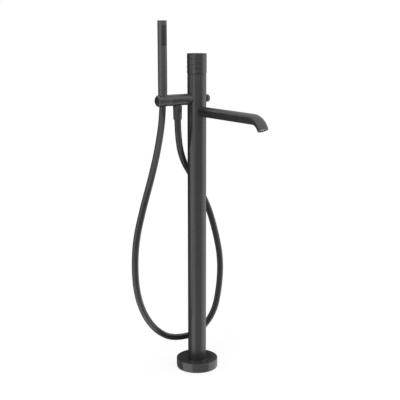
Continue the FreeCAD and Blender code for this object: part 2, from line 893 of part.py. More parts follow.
def aerator(mouth_r):
    """The aerator in the spout's mouth: a threaded ring, a mesh and the seal behind them."""
    outside = mouth_r - D.body_play
    inside = outside - D.aerator_ring
    face = -D.aerator_inset
    back = face - D.aerator_length
    lip = D.aerator_lip
    outline = [
        (inside, back),
        (outside, back),
        (outside, face),
        (inside - lip, face),
        (inside - lip, face - lip),
        (inside, face - lip),
    ]
    finished("aerator_ring", seat_in_mouth(turned("aerator_ring_body", outline)))
    mesh_r = inside - D.press_play
    holes = [Vector(0, 0, 0)]
    for circle in range(1, MESH_RINGS + 1):
        for i in range(6 * circle):
            angle = 2 * math.pi * i / (6 * circle)
            reach = circle * D.mesh_pitch.value
            holes.append(Vector(reach * math.cos(angle), reach * math.sin(angle), 0))
    low = back.value + D.mesh_inset.value
    thick = D.aerator_length.value - D.mesh_inset.value - 2 * lip.value
    disc = Part.makeCylinder(mesh_r.value, thick, Vector(0, 0, low))
    hole_r = D.mesh_hole_dia.value / 2
    tools = [Part.makeCylinder(hole_r, thick + 2, Vector(p.x, p.y, low - 1)) for p in holes]
    mesh = add("Part::Feature", "aerator_mesh_body")
    mesh.Shape = disc.cut(Part.makeCompound(tools))
    finished("aerator_mesh", seat_in_mouth(mesh))
    seal = [
        (inside, back - D.aerator_seal),
        (outside, back - D.aerator_seal),
        (outside, back - D.press_play),
        (inside, back - D.press_play),
    ]
    finished("aerator_seal", seat_in_mouth(turned("aerator_seal_body", seal)))


def saddle_gasket(node, radius, hole_r, station):
    """A thin rubber ring bent round the column, a little smaller than the tube it seals."""
    inner_cut = column_cutter(f"{node}_inner", column_r + D.press_play)
    outer_rod = column_cutter(f"{node}_outer", saddle_r - D.press_play)
    sleeve = less(f"{node}_sleeve", outer_rod, inner_cut)
    tube = less(
        f"{node}_tube",
        cross_hole(f"{node}_disc", radius - D.gasket_inset, D.column_dia, station),
        cross_hole(f"{node}_bore", hole_r, D.column_dia, station),
    )
    return finished(node, shared(f"{node}_shape", sleeve, tube))


# ---------------------------------------------------------------- arm


def arm():
    blank = turned(
        "arm_blank",
        [(arm_bore_r, ZERO), (arm_r, ZERO), (arm_r, arm_seam), (arm_bore_r, arm_seam)],
        "arm",
    )
    saddle = column_cutter("arm_saddle", saddle_r)
    outlet = rod("outlet_hole", thread_r + D.body_play, arm_r)
    at(outlet, x=-outlet_reach, z=arm_level - arm_r)
    screw_x = arm_seam - D.spigot_length / 2
    screw_r = D.holder_screw_dia / 2
    hole = at(rod("holder_screw_hole", screw_r, arm_r), x=-screw_x, z=arm_level - arm_r)
    finished("arm_tube", less("arm_cut", blank, saddle, outlet, hole))
    nipple_end = outlet_reach - D.outlet_block / 2 + D.nipple_depth
    ring("arm_nipple", nipple_bore_r, nipple_r, socket_end, nipple_end, "arm")
    outlet_block(nipple_end)
    holder(screw_x, screw_r)


def outlet_block(nipple_end):
    """The brass block in the arm that turns the water down into the hose outlet."""
    block_r = arm_bore_r - D.press_play
    block_from = outlet_reach - D.outlet_block / 2
    end = outlet_reach + D.outlet_block / 2
    socket = nipple_end + D.press_play
    outline = [
        (nipple_r + D.press_play, block_from),
        (block_r, block_from),
        (block_r, end),
        (ZERO, end),
        (ZERO, outlet_reach + nipple_bore_r),
        (nipple_bore_r, outlet_reach + nipple_bore_r),
        (nipple_bore_r, socket),
        (nipple_r + D.press_play, socket),
    ]
    blank = turned("outlet_block_blank", outline, "arm")
    shoulder = arm_level - arm_bore_r - D.press_play * 2
    tip = arm_level - nipple_bore_r - D.port_shoulder
    port = rod("outlet_port", nipple_r + D.press_play, tip - shoulder)
    at(port, x=-outlet_reach, z=shoulder)
    drop = rod("outlet_drop", nipple_bore_r, arm_r)
    at(drop, x=-outlet_reach, z=arm_level - arm_r)
    finished("outlet_block", less("outlet_block_cut", blank, port, drop))
    foot = outlet_nut_top - D.thread_length
    nipple = [
        (nipple_bore_r, foot),
        (thread_r, foot),
        (thread_r, shoulder - D.press_play),
        (nipple_r, shoulder - D.press_play),
        (nipple_r, tip - D.press_play),
        (nipple_bore_r, tip - D.press_play),
    ]
    finished("outlet_nipple", turned("outlet_nipple_body", nipple, "outlet"))


def holder(screw_x, screw_r):
    """The end of the arm, with the upright hole that the hand shower stands in."""
    spigot_r = arm_bore_r - D.press_play
    outline = [
        (ZERO, arm_seam - D.spigot_length),
        (spigot_r, arm_seam - D.spigot_length),
        (spigot_r, arm_seam),
        (arm_r - D.seam_line, arm_seam),
        (arm_r, arm_seam + D.seam_line),
        (arm_r, D.arm_reach - D.holder_edge),
        (arm_r - D.holder_edge, D.arm_reach),
        (ZERO, D.arm_reach),
    ]
    blank = turned("holder_blank", outline, "arm")
    bore = rod("holder_bore", holder_bore_r, D.arm_dia)
    at(bore, x=-holder_reach, z=arm_level - arm_r)
    hole = at(rod("holder_screw_seat", screw_r, D.spigot_length), x=-screw_x, z=arm_level - arm_r)
    finished("holder_end", less("holder_cut", blank, bore, hole))
    screw = rod("holder_screw", screw_r - D.press_play, D.spigot_length - D.arm_edge)
    at(screw, x=-screw_x, z=arm_level - arm_r + D.arm_edge - D.body_play)
    finished("holder_grub_screw", screw)
    taper = (nut_r - nut_end_r) / D.nut_length
    nut_bottom = handset_foot - D.nut_length
    high = arm_level + arm_r
    low = arm_level - arm_r
    high_r = nut_end_r + taper_rise(taper, high - nut_bottom) + D.cone_clearance
    bush_r = holder_bore_r - D.bush_play
    low_r = nut_end_r + D.cone_clearance
    liner = [
        (low_r, low),
        (bush_r, low),
        (bush_r, high),
        (high_r, high),
        (low_r, nut_bottom),
    ]
    sleeve = turned("bush_blank", liner, "handset")
    outside = cross_hole("bush_outside", arm_r - D.bush_play * 4, D.arm_reach, "arm")
    return finished("holder_bush", shared("holder_bush_shape", sleeve, outside))


def taper_rise(taper, height):
    return Dim(f"({taper.text} * {height.text})", taper.value * height.value)


# ---------------------------------------------------------------- hose


def hose_nut(node, station, top):
    """The long conical nut on each end of the hose."""
    shoulder = top - D.thread_length - D.seal_thickness - D.ferrule_thickness
    low = top - D.nut_length
    outline = [
        (nut_bore_r, low),
        (nut_end_r - D.nut_edge, low),
        (nut_end_r, low + D.nut_edge),
        (nut_r, top - D.nut_edge),
        (nut_r - D.nut_edge, top),
        (thread_bore_r, top),
        (thread_bore_r, shoulder),
        (nut_bore_r, shoulder),
    ]
    return finished(node, turned(f"{node}_body", outline, station))


def hose_end(side, station, top):
    """What lies in a nut: the seal and the ferrule that the hose is crimped to."""
    seal_top = top - D.thread_length
    ferrule_top = seal_top - D.seal_thickness
    face = ferrule_top - D.ferrule_thickness
    ring(f"{side}_seal", nipple_bore_r, thread_r - D.seal_play, ferrule_top, seal_top, station)
    ring(f"{side}_ferrule", nipple_bore_r, thread_r - D.body_play, face, ferrule_top, station)
    return face


def hose_path(points):
    """Straight runs joined by arcs, each as large as its two runs allow."""
    corners = [Vector(*p) for p in points]
    edges = []
    radii = []
    start = corners[0]
    for before, corner, after in zip(corners, corners[1:], corners[2:]):
        inward = (corner - before).normalize()
        outward = (after - corner).normalize()
        turn = math.acos(max(-1.0, min(1.0, inward.dot(outward))))
        trim = HOSE_RADIUS_SHARE * min((corner - before).Length, (after - corner).Length)
        radius = trim / math.tan(turn / 2)
        first = corner - inward * trim
        second = corner + outward * trim
        bisector = (outward - inward).normalize()
        middle = corner + bisector * (radius / math.cos(turn / 2) - radius)
        edges.append(Part.LineSegment(start, first).toShape())
        edges.append(Part.Arc(first, middle, second).toShape())
        start = second
        radii.append(radius)
    edges.append(Part.LineSegment(start, corners[-1]).toShape())
    print("hose radii", [round(r) for r in radii])
    print("hose runs", [round((b - a).Length) for a, b in zip(corners, corners[1:])])
    return Part.Wire(edges)


def shower_hose(outlet_face, handset_face):
    ends = [
        (-outlet_reach.value, 0, outlet_face.value),
        (-holder_reach.value, 0, handset_face.value),
    ]
    path = hose_path([ends[0], *HOSE_ROUTE, ends[1]])
    section = Part.Wire(Part.makeCircle(D.hose_dia.value / 2, Vector(*ends[0]), Vector(0, 0, -1)))
    tube = path.makePipeShell([section], True, False)
    expected = math.pi * (D.hose_dia.value / 2) ** 2 * path.Length
    print(f"hose length {path.Length:.1f}, volume ratio {tube.Volume / expected:.5f}")
    print(f"hose lowest point {tube.BoundBox.ZMin:.1f}")
    hose = add("Part::Feature", "hose_body")
    hose.Shape = tube
    return finished("shower_hose", hose)


# ---------------------------------------------------------------- hand shower


def sector(name, radius, low, high, angle):
    """A wedge of a cylinder on the hand shower's axis, facing the spout's way."""
    wedge = rod(name, radius, high - low)
    wedge.Angle = angle
    turn = Rotation(Vector(0, 0, 1), -90 - angle / 2)
    return at(wedge, x=-holder_reach, z=low, turn=turn)


def handset():
    connector_top = handset_foot + D.connector_height
    tube_foot = handset_foot + D.handset_line
    bore_r = handset_bore_r
    tube_top = handset_top - D.handset_cap
    spray_top = handset_top - D.spray_start
    spray_low = spray_top - D.nozzle_pitch * (NOZZLE_ROWS - 1) - D.spray_margin * 2
    blank = turned(
        "handset_blank",
        [(bore_r, tube_foot), (handset_r, tube_foot), (handset_r, tube_top), (bore_r, tube_top)],
        "handset",
    )
    window = sector("spray_window", handset_r * 2, spray_low, spray_top, D.spray_angle.value)
    finished("handset_tube", less("handset_tube_cut", blank, window))
    plug_r = bore_r - D.press_play
    spigot_r = thread_r
    outline = [
        (nipple_bore_r, handset_foot - D.thread_length),
        (spigot_r, handset_foot - D.thread_length),
        (spigot_r, tube_foot),
        (plug_r, tube_foot),
        (plug_r, connector_top),
        (nipple_bore_r, connector_top),
    ]
    finished("handset_connector", turned("handset_connector_body", outline, "handset"))
    valve_low = handset_foot - D.thread_length / 2
    valve_r = nipple_bore_r - D.press_play
    valve_top = connector_top - D.check_valve_recess
    valve_bore_r = D.check_valve_bore_dia / 2
    ring("check_valve", valve_bore_r, valve_r, valve_low, valve_top, "handset")
    waterway(plug_r, connector_top, spray_low)
    edge = D.knob_edge
    cap = [
        (ZERO, tube_top - D.cap_spigot),
        (plug_r, tube_top - D.cap_spigot),
        (plug_r, tube_top + D.handset_cap_gap),
        (handset_r, tube_top + D.handset_cap_gap),
        (handset_r, handset_top - edge),
        (handset_r - edge, handset_top),
        (ZERO, handset_top),
    ]
    finished("handset_cap", turned("handset_cap_body", cap, "handset"))
    spray(spray_low, spray_top)


def waterway(plug_r, low, high):
    """The plastic tube that carries the water up to the spray, centred by two flanges."""
    outer = D.waterway_dia / 2
    inner = outer - D.waterway_wall
    flange = D.waterway_flange
    foot = low + D.press_play
    top = high - D.press_play
    outline = [
        (inner, foot),
        (plug_r, foot),
        (plug_r, foot + flange),
        (outer, foot + flange),
        (outer, top - flange),
        (plug_r, top - flange),
        (plug_r, top),
        (inner, top),
    ]
    finished("handset_waterway", turned("handset_waterway_body", outline, "handset"))


def spray(low, high):
    """The spray face let into the tube, and the rubber mat whose nozzles stand through it."""
    play = D.press_play.value * 2
    face_r = handset_r - play / 2
    angle = D.spray_angle.value - D.spray_angle_play.value
    plate_back = handset_bore_r + D.press_play
    mat_r = handset_bore_r - D.press_play
    mat_back = mat_r - D.mat_thickness
    plate = less(
        "spray_plate_blank",
        sector("spray_plate_outside", face_r, low + play, high - play, angle),
        sector("spray_plate_inside", plate_back, low, high, D.spray_angle.value),
    )
    mat = less(
        "nozzle_mat_blank",
        sector("nozzle_mat_outside", mat_r, low + play, high - play, angle),
        sector("nozzle_mat_inside", mat_back, low, high, D.spray_angle.value),
    )
    holes = []
    nozzles = []
    middle = (low + high) / 2
    hole_r = D.nozzle_dia / 2 + D.press_play * 2
    reach = handset_r + D.nozzle_proud
    for row in range(NOZZLE_ROWS):
        level = middle + D.nozzle_pitch * (row - (NOZZLE_ROWS - 1) / 2)
        for side in range(-NOZZLES_EACH_SIDE, NOZZLES_EACH_SIDE + 1):
            name = f"{row}_{side + NOZZLES_EACH_SIDE}"
            angle_out = math.radians(-90 + side * D.nozzle_angle.value)
            way = Vector(math.cos(angle_out), math.sin(angle_out), 0)
            turn = Rotation(Vector(0, 0, 1), way)
            hole = rod(f"nozzle_hole_{name}", hole_r, handset_r)
            holes.append(at(hole, mat_r * way.x - holder_reach, mat_r * way.y, level, turn))
            start = mat_r - D.mat_thickness / 2
            nozzle = add("Part::Cone", f"nozzle_{name}")
            bind(nozzle, "Radius1", D.nozzle_dia / 2)
            bind(nozzle, "Radius2", D.nozzle_tip_dia / 2)
            bind(nozzle, "Height", reach - start)
            nozzles.append(at(nozzle, start * way.x - holder_reach, start * way.y, level, turn))
    finished("spray_plate", less("spray_plate_cut", plate, *holes))
    finished("nozzle_mat", joined("nozzle_mat_solid", mat, *nozzles))


# ---------------------------------------------------------------- diverter


def diverter():
    bore_r = spindle_r + D.spindle_play
    bonnet_r = D.bonnet_dia / 2
    flange_from = column_r + D.bonnet_proud
    outline = [
        (bore_r, chamber_front + D.press_play),
        (bonnet_r, chamber_front + D.press_play),
        (bonnet_r, flange_from),
        (D.bonnet_flange_dia / 2, flange_from),
        (D.bonnet_flange_dia / 2, bonnet_top),
        (bore_r, bonnet_top),
    ]
    finished("diverter_bonnet", turned("diverter_bonnet_body", outline, "diverter"))
    knob_low = diverter_end - D.diverter_height
    socket = diverter_end - D.diverter_face
    spindle = cross_hole("spindle", spindle_r, socket - D.piston_place, "diverter", D.piston_place)
    finished("diverter_spindle", spindle)
    grip_r = D.diverter_dia / 2
    edge = D.diverter_edge
    low_edge = edge / 2
    seat_r = spindle_r + D.spindle_seat_play
    knob_outline = [
        (seat_r, knob_low),
        (grip_r - low_edge, knob_low),
        (grip_r, knob_low + low_edge),
        (grip_r, diverter_end - edge),
        (grip_r - edge * 0.3, diverter_end - edge * 0.3),
        (grip_r - edge, diverter_end),
        (ZERO, diverter_end),
        (ZERO, socket + D.press_play),
        (seat_r, socket + D.press_play),
    ]
    finished("diverter_knob", turned("diverter_knob_body", knob_outline, "diverter"))
    piston(seat_r)


def piston(bore_r):
    """The piston that shuts one outlet or the other, its O-ring and the spring behind it."""
    outer = chamber_r - D.press_play
    low = D.piston_place
    high = low + D.piston_length
    groove_r = outer - D.piston_groove_depth
    groove_low = low + D.piston_length / 3
    groove_high = high - D.piston_length / 3
    outline = [
        (bore_r, low),
        (outer, low),
        (outer, groove_low),
        (groove_r, groove_low),
        (groove_r, groove_high),
        (outer, groove_high),
        (outer, high),
        (bore_r, high),
    ]
    finished("diverter_piston", turned("diverter_piston_body", outline, "diverter"))
    cord = (outer - groove_r) / 2
    torus = add("Part::Torus", "diverter_o_ring_body")
    bind(torus, "Radius1", groove_r + cord + D.press_play / 2)
    bind(torus, "Radius2", cord - D.press_play / 2)
    at(torus, x=(groove_low + groove_high) / 2, z=arm_level, turn=Rotation(Vector(0, 1, 0), 90))
    finished("diverter_o_ring", torus)
    finished("diverter_spring", spring(high.value, chamber_front.value))


def biarc(p1, t1, p2, t2):
    """Two arcs that join p1 to p2 and keep the directions t1 and t2 at the ends."""
    chord = p2 - p1
    both = t1 + t2
    a = 2 * (1 - t1.dot(t2))
    b = chord.dot(both)
    reach = (math.sqrt(b * b + a * chord.dot(chord)) - b) / a
    meeting = (p1 + p2 + (t1 - t2) * reach) * 0.5
    return [arc_from(p1, t1, meeting), arc_to(meeting, p2, t2)]


def arc_from(start, direction, end):
    chord = end - start
    across = chord - direction * chord.dot(direction)
    radius = chord.dot(chord) / (2 * across.Length)
    centre = start + across.normalize() * radius
    middle = centre + ((start + end) * 0.5 - centre).normalize() * radius
    return Part.Arc(start, middle, end).toShape()


def arc_to(start, end, direction):
    reverse = direction * -1
    chord = start - end
    across = chord - reverse * chord.dot(reverse)
    radius = chord.dot(chord) / (2 * across.Length)
    centre = end + across.normalize() * radius
    middle = centre + ((start + end) * 0.5 - centre).normalize() * radius
    return Part.Arc(start, middle, end).toShape()


def spring(low, high):
    """An open coil round the spindle, from the piston to the bonnet."""
    wire_r = D.spring_wire_dia.value / 2
    coil_r = (spindle_r.value + chamber_r.value) / 2
    start = low + wire_r + D.press_play.value
    rise = high - low - 2 * wire_r - 2 * D.press_play.value
    level = arm_level.value
    steps = SPRING_TURNS * 4
    per_turn = rise / SPRING_TURNS
    slope = per_turn / (2 * math.pi)

    def spot(i):
        angle = 2 * math.pi * i / 4
        across = coil_r * math.cos(angle)
        return Vector(start + rise * i / steps, across, level + coil_r * math.sin(angle))

    def heading(i):
        angle = 2 * math.pi * i / 4
        return Vector(slope, -coil_r * math.sin(angle), coil_r * math.cos(angle)).normalize()

    edges = []
    for i in range(steps):
        edges += biarc(spot(i), heading(i), spot(i + 1), heading(i + 1))
    path = Part.Wire(edges)
    section = Part.Wire(Part.makeCircle(wire_r, spot(0), heading(0)))
    coil = add("Part::Feature", "spring_body")
    coil.Shape = path.makePipeShell([section], True, False)
    gap = per_turn - 2 * wire_r
    print(f"spring gap between turns {gap:.2f}")
    return coil


# ---------------------------------------------------------------- build and export


def build():
    floor_plate()
    foot_collar()
    foot_screws()
    base_cover()
    cover_seal()
    column_tube()
    supplies()
    valve_body()
    neck_top = cartridge()
    stem_top = cartridge_stem(neck_top)
    glide_ring()
    knob(stem_top)
    spout()
    saddle_gasket("spout_gasket", spout_r, nipple_r + D.body_play, "spout")
    arm()
    saddle_gasket("arm_gasket", arm_r, nipple_r + D.body_play, "arm")
    hose_nut("outlet_hose_nut", "outlet", outlet_nut_top)
    outlet_face = hose_end("outlet", "outlet", outlet_nut_top)
    hose_nut("handset_cone_nut", "handset", handset_foot)
    handset_face = hose_end("handset", "handset", handset_foot)
    shower_hose(outlet_face, handset_face)
    handset()
    diverter()
    DOC.recompute()


def check_and_export():
    bad = [o.Name for o in DOC.Objects if "Invalid" in o.State or "Error" in o.State]
    if bad:
        raise RuntimeError(f"failed objects: {bad}")
    for node, thing in SUBPARTS.items():
        shape = thing.Shape
        if shape.isNull() or not shape.isValid() or not shape.Solids:
            raise RuntimeError(f"{node} has no valid solid")
    os.makedirs("parts", exist_ok=True)
    for node, thing in SUBPARTS.items():
        thing.Shape.exportStep(f"parts/{node}.step")
    print(len(SUBPARTS), "sub-parts")


build()
check_and_export()
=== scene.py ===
# %% [markdown]
# # A floor standing bath filler
#
# The object is a slender bath filler in satin black: a round column on a disc cover, a turning
# knob on top, a long spout, and an arm that holds a stick hand shower on its hose. The packed
# model gives every piece its place and size. This notebook dresses it: it models the pieces that
# show, gives every surface a finish, and sets up the studio.

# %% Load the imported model
import json
import math

import bpy
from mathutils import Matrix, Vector


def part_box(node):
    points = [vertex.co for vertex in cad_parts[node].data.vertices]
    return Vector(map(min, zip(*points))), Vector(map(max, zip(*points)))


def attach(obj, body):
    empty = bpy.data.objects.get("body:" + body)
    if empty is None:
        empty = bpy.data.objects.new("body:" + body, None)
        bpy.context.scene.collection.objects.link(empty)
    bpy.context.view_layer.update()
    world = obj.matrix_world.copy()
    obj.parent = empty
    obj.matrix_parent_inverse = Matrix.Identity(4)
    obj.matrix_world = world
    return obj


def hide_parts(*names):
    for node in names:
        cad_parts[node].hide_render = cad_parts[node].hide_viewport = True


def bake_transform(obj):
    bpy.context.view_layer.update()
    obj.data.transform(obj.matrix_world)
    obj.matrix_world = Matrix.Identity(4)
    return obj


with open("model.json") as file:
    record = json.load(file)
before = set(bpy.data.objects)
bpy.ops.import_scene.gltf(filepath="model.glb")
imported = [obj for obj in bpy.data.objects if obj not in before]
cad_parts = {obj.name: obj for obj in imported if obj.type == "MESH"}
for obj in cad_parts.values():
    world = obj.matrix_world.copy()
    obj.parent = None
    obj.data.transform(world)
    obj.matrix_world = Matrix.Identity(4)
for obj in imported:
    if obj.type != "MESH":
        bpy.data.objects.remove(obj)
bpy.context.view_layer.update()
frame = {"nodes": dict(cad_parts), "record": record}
MM = 0.001

# %% [markdown]
# ## The camera
#
# A picture of a tall, thin object is usually taken from far away with a long lens, so that its
# upright edges stay nearly parallel. This one looks 12 degrees down from the height of the hand
# shower. The camera comes first, because everything else is judged through it.

# %% Camera
CAMERA_PLACE = (-1.3350, -1.8885, 0.98865)
CAMERA_DOWN = 12.07
CAMERA_HEADING = -35.47
CAMERA_LENS = 75.84

bpy.ops.object.camera_add(location=CAMERA_PLACE)
camera = bpy.context.object
camera.rotation_euler = (math.radians(90 - CAMERA_DOWN), 0, math.radians(CAMERA_HEADING))
camera.data.lens = CAMERA_LENS
camera.data.sensor_width = 36
camera.data.sensor_fit = "HORIZONTAL"
bpy.context.scene.camera = camera
bpy.context.scene.view_settings.view_transform = "Standard"


# %% [markdown]
# ## A few helpers
#
# Most of this object was turned on a lathe, so most of its pieces start as an outline: a chain of
# corners that is extruded point by point and then spun round the axis. Spinning by hand and
# spinning in code are the same operator. A bevel then rounds the edges, because no real edge is
# perfectly sharp and it is the rounded edge that catches the light.

# %% Helpers for modelling
SMOOTH_BELOW = 40  # degrees: a gentler edge than this is shaded smooth
SMOOTH_BESIDE_A_CUT = 30


def only(thing):
    """Leave just this object selected and active."""
    bpy.ops.object.select_all(action="DESELECT")
    thing.select_set(True)
    bpy.context.view_layer.objects.active = thing


def apply_modifier(thing, kind, **settings):
    """Add one modifier with its settings, and apply it at once."""
    only(thing)
    modifier = thing.modifiers.new(kind.title(), kind)
    for name, value in settings.items():
        setattr(modifier, name, value)
    bpy.ops.object.modifier_apply(modifier=modifier.name)


def round_edges(thing, width, segments=3, angle=30):
    """Round every edge that is sharper than the angle, then shade the piece smooth."""
    apply_modifier(
        thing,
        "BEVEL",
        width=width,
        segments=segments,
        limit_method="ANGLE",
        angle_limit=math.radians(angle),
        miter_outer="MITER_ARC",
    )
    only(thing)
    bpy.ops.object.shade_smooth_by_angle(angle=math.radians(SMOOTH_BELOW))


def settle(thing, move=(0, 0, 0), turn=(0, 0, 0)):
    """Turn and move a piece, then apply that, so that its object stays at the origin."""
    thing.rotation_euler = [math.radians(a) for a in turn]
    thing.location = move
    only(thing)
    bpy.ops.object.transform_apply(location=True, rotation=True, scale=True)
    return thing


def drawn(name, corners):
    """A chain of corners in the XZ plane, extruded from one point as by hand."""
    bpy.ops.object.select_all(action="DESELECT")
    bpy.ops.mesh.primitive_plane_add(size=MM)
    thing = bpy.context.object
    thing.name = name
    thing.data.name = name
    bpy.ops.object.mode_set(mode="EDIT")
    bpy.ops.mesh.merge(type="CENTER")
    bpy.ops.transform.translate(value=(corners[0][0], 0, corners[0][1]))
    for before, after in zip(corners, corners[1:]):
        step = (after[0] - before[0], 0, after[1] - before[1])
        bpy.ops.mesh.extrude_vertices_move(TRANSFORM_OT_translate={"value": step})
    return thing


def close_chain(thing):
    """Join the vertices with the first and the last index. From five corners on, these are the
    chain's two ends. With four they are joined already, so the chain stays open: the column, the
    arm and the stick, which have four corners, get an outer wall and rims but no inner wall."""
    bpy.ops.mesh.select_all(action="DESELECT")
    bpy.ops.object.mode_set(mode="OBJECT")
    thing.data.vertices[0].select = True
    thing.data.vertices[len(thing.data.vertices) - 1].select = True
    bpy.ops.object.mode_set(mode="EDIT")
    bpy.ops.mesh.edge_face_add()


def turned(name, corners, rounding=0.3 * MM, steps=96, segments=3):
    """A lathe-turned piece on the Z axis. An outline that starts and ends on the axis is solid."""
    thing = drawn(name, corners)
    if corners[0][0] > 0:
        close_chain(thing)
    bpy.ops.mesh.select_all(action="SELECT")
    bpy.ops.mesh.spin(steps=steps, angle=2 * math.pi, center=(0, 0, 0), axis=(0, 0, 1))
    bpy.ops.mesh.select_all(action="SELECT")
    bpy.ops.mesh.remove_doubles(threshold=MM / 1000)
    bpy.ops.mesh.normals_make_consistent(inside=False)
    bpy.ops.object.mode_set(mode="OBJECT")
    round_edges(thing, rounding, segments)
    return thing


def bar(radius, length, place, turn=(0, 0, 0), vertices=96):
    """A round bar, used to cut holes. Its place is its middle."""
    bpy.ops.object.select_all(action="DESELECT")
    bpy.ops.mesh.primitive_cylinder_add(
        vertices=vertices,
        radius=radius,
        depth=length,
        location=place,
        rotation=[math.radians(a) for a in turn],
    )
    return bpy.context.object


def cut_away(thing, cutter):
    """Cut a hole, and shade its rim as a sharp edge, or the long faces beside it look dented."""
    apply_modifier(thing, "BOOLEAN", operation="DIFFERENCE", object=cutter, solver="EXACT")
    bpy.data.objects.remove(cutter)
    only(thing)
    bpy.ops.object.shade_smooth_by_angle(angle=math.radians(SMOOTH_BESIDE_A_CUT))


def middle(node):
    """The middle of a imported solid's box."""
    low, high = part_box(node)
    return (low + high) / 2


# %% [markdown]
# ## The hose
#
# A smooth plastic hose hangs from the outlet nut, swings round the back of the column, almost to
# the floor, and comes up into the holder. Such a line is drawn as a NURBS spline: its control
# points pull the line towards them without kinks. The tube itself is a mesh that follows the
# spline.

# %% Hose: the route and the spline
NUT_FACE = 0.74535
HANDSET_FACE = 0.7898
HOSE_DIAMETER = 0.018
HOSE_ROUTE = [
    (-0.064, 0, NUT_FACE),
    (-0.064, 0, 0.687),
    (-0.029, 0.033, 0.611),
    (0.021, 0.051, 0.550),
    (0.059, 0.032, 0.472),
    (0.084, 0.026, 0.388),
    (0.101, 0.023, 0.305),
    (0.102, 0.028, 0.220),
    (0.087, 0.035, 0.131),
    (0.029, 0.041, 0.078),
    (-0.054, 0.048, 0.079),
    (-0.127, 0.019, 0.128),
    (-0.180, -0.006, 0.190),
    (-0.218, -0.031, 0.262),
    (-0.239, -0.054, 0.342),
    (-0.238, -0.061, 0.426),
    (-0.215, -0.061, 0.508),
    (-0.180, -0.049, 0.585),
    (-0.145, -0.029, 0.660),
    (-0.1112, 0, 0.740),
    (-0.1112, 0, HANDSET_FACE),
]


def nurbs_line(name, points, resolution):
    """A curve object with one open NURBS spline through its two ends."""
    curve = bpy.data.curves.new(name, "CURVE")
    curve.dimensions = "3D"
    curve.resolution_u = resolution
    spline = curve.splines.new("NURBS")
    spline.points.add(len(points) - 1)
    for control, point in zip(spline.points, points):
        control.co = (*point, 1)
    spline.order_u = 3
    spline.use_endpoint_u = True
    thing = bpy.data.objects.new(name, curve)
    bpy.context.scene.collection.objects.link(thing)
    return thing


def points_along(line):
    """The points that Blender works out along a curve with no bevel."""
    bpy.context.view_layer.update()
    mesh = bpy.data.meshes.new_from_object(line)
    points = [v.co.copy() for v in mesh.vertices]
    bpy.data.meshes.remove(mesh)
    return points


route = nurbs_line("hose_route", HOSE_ROUTE, 14)
hose_points = points_along(route)

# %% [markdown]
# A tube along a line is a row of rings. Each ring is turned only as much as the line turns, so the
# rings don't twist. The faces between two rings make the wall, and one face closes each end.

# %% Hose: the tube
HOSE_SIDES = 24


def ring_frames(points):
    """A side direction for each point, carried along the line without twisting."""
    side = Vector((1, 0, 0))
    frames = []
    for i, point in enumerate(points):
        ahead = points[min(i + 1, len(points) - 1)] - points[max(i - 1, 0)]
        ahead.normalize()
        side = (side - ahead * side.dot(ahead)).normalized()
        frames.append((point, side.copy(), ahead.cross(side)))
    return frames


def tube_along(name, points, radius, sides):
    """A round tube with a closed end at both ends of the line."""
    vertices = []
    for point, side, up in ring_frames(points):
        for k in range(sides):
            angle = 2 * math.pi * k / sides
            vertices.append(point + (side * math.cos(angle) + up * math.sin(angle)) * radius)
    faces = []
    for i in range(len(points) - 1):
        for k in range(sides):
            a = i * sides + k
            b = i * sides + (k + 1) % sides
            faces.append((a, b, b + sides, a + sides))
    faces.append(tuple(range(sides - 1, -1, -1)))
    last = (len(points) - 1) * sides
    faces.append(tuple(range(last, last + sides)))
    mesh = bpy.data.meshes.new(name)
    mesh.from_pydata(vertices, [], faces)
    thing = bpy.data.objects.new(name, mesh)
    bpy.context.scene.collection.objects.link(thing)
    only(thing)
    bpy.ops.object.mode_set(mode="EDIT")
    bpy.ops.mesh.select_all(action="SELECT")
    bpy.ops.mesh.normals_make_consistent(inside=False)
    bpy.ops.object.mode_set(mode="OBJECT")
    bpy.ops.object.shade_smooth_by_angle(angle=math.radians(SMOOTH_BELOW))
    return thing


hose = tube_along("hose", hose_points, HOSE_DIAMETER / 2, HOSE_SIDES)
bpy.data.objects.remove(route)
print("hose faces", len(hose.data.polygons))


# %% [markdown]
# ## Finishes
#
# Each material is named for what the real one is. Colours are written as the hex values that a
# designer would pick on screen, and one function turns them into the linear values that the
# shader works in. One more function adds a node, so that a material reads from top to bottom.

# %% Helpers for materials
def linear(hexadecimal):
    """An sRGB hex colour as linear red, green, blue and alpha."""
    channels = [int(hexadecimal[i:i + 2], 16) / 255 for i in (1, 3, 5)]
    return [c / 12.92 if c <= 0.04045 else ((c + 0.055) / 1.055) ** 2.4 for c in channels] + [1]


def add_node(tree, kind, settings=None, **sockets):
    """One node: its settings, its socket values, and links where a value is another socket."""
    node = tree.nodes.new(kind)
    for name, value in (settings or {}).items():
        setattr(node, name, value)
    for name, value in sockets.items():
        socket = node.inputs[name.replace("_", " ")]
        if isinstance(value, bpy.types.NodeSocket):
            tree.links.new(value, socket)
        else:
            socket.default_value = value
    return node


def new_material(name):
    """A material with an empty node tree."""
    material = bpy.data.materials.new(name)
    material.use_nodes = True
    material.node_tree.nodes.clear()
    return material, material.node_tree


def mottled(tree, where, dark, light, patch):
    """Two close shades mixed by a soft noise with patches of the given width."""
    noise = add_node(tree, "ShaderNodeTexNoise", Vector=where, Scale=1 / patch, Detail=3)
    ramp = add_node(tree, "ShaderNodeValToRGB", Fac=noise.outputs["Fac"])
    for stop, position, shade in zip(ramp.color_ramp.elements, (0.35, 0.65), (dark, light)):
        stop.position = position
        stop.color = linear(shade)
    return ramp.outputs["Color"]


def finish_material(material, tree, shader):
    """Join the shader to the material's output."""
    output = add_node(tree, "ShaderNodeOutputMaterial", Surface=shader.outputs["BSDF"])
    output.is_active_output = True
    return material
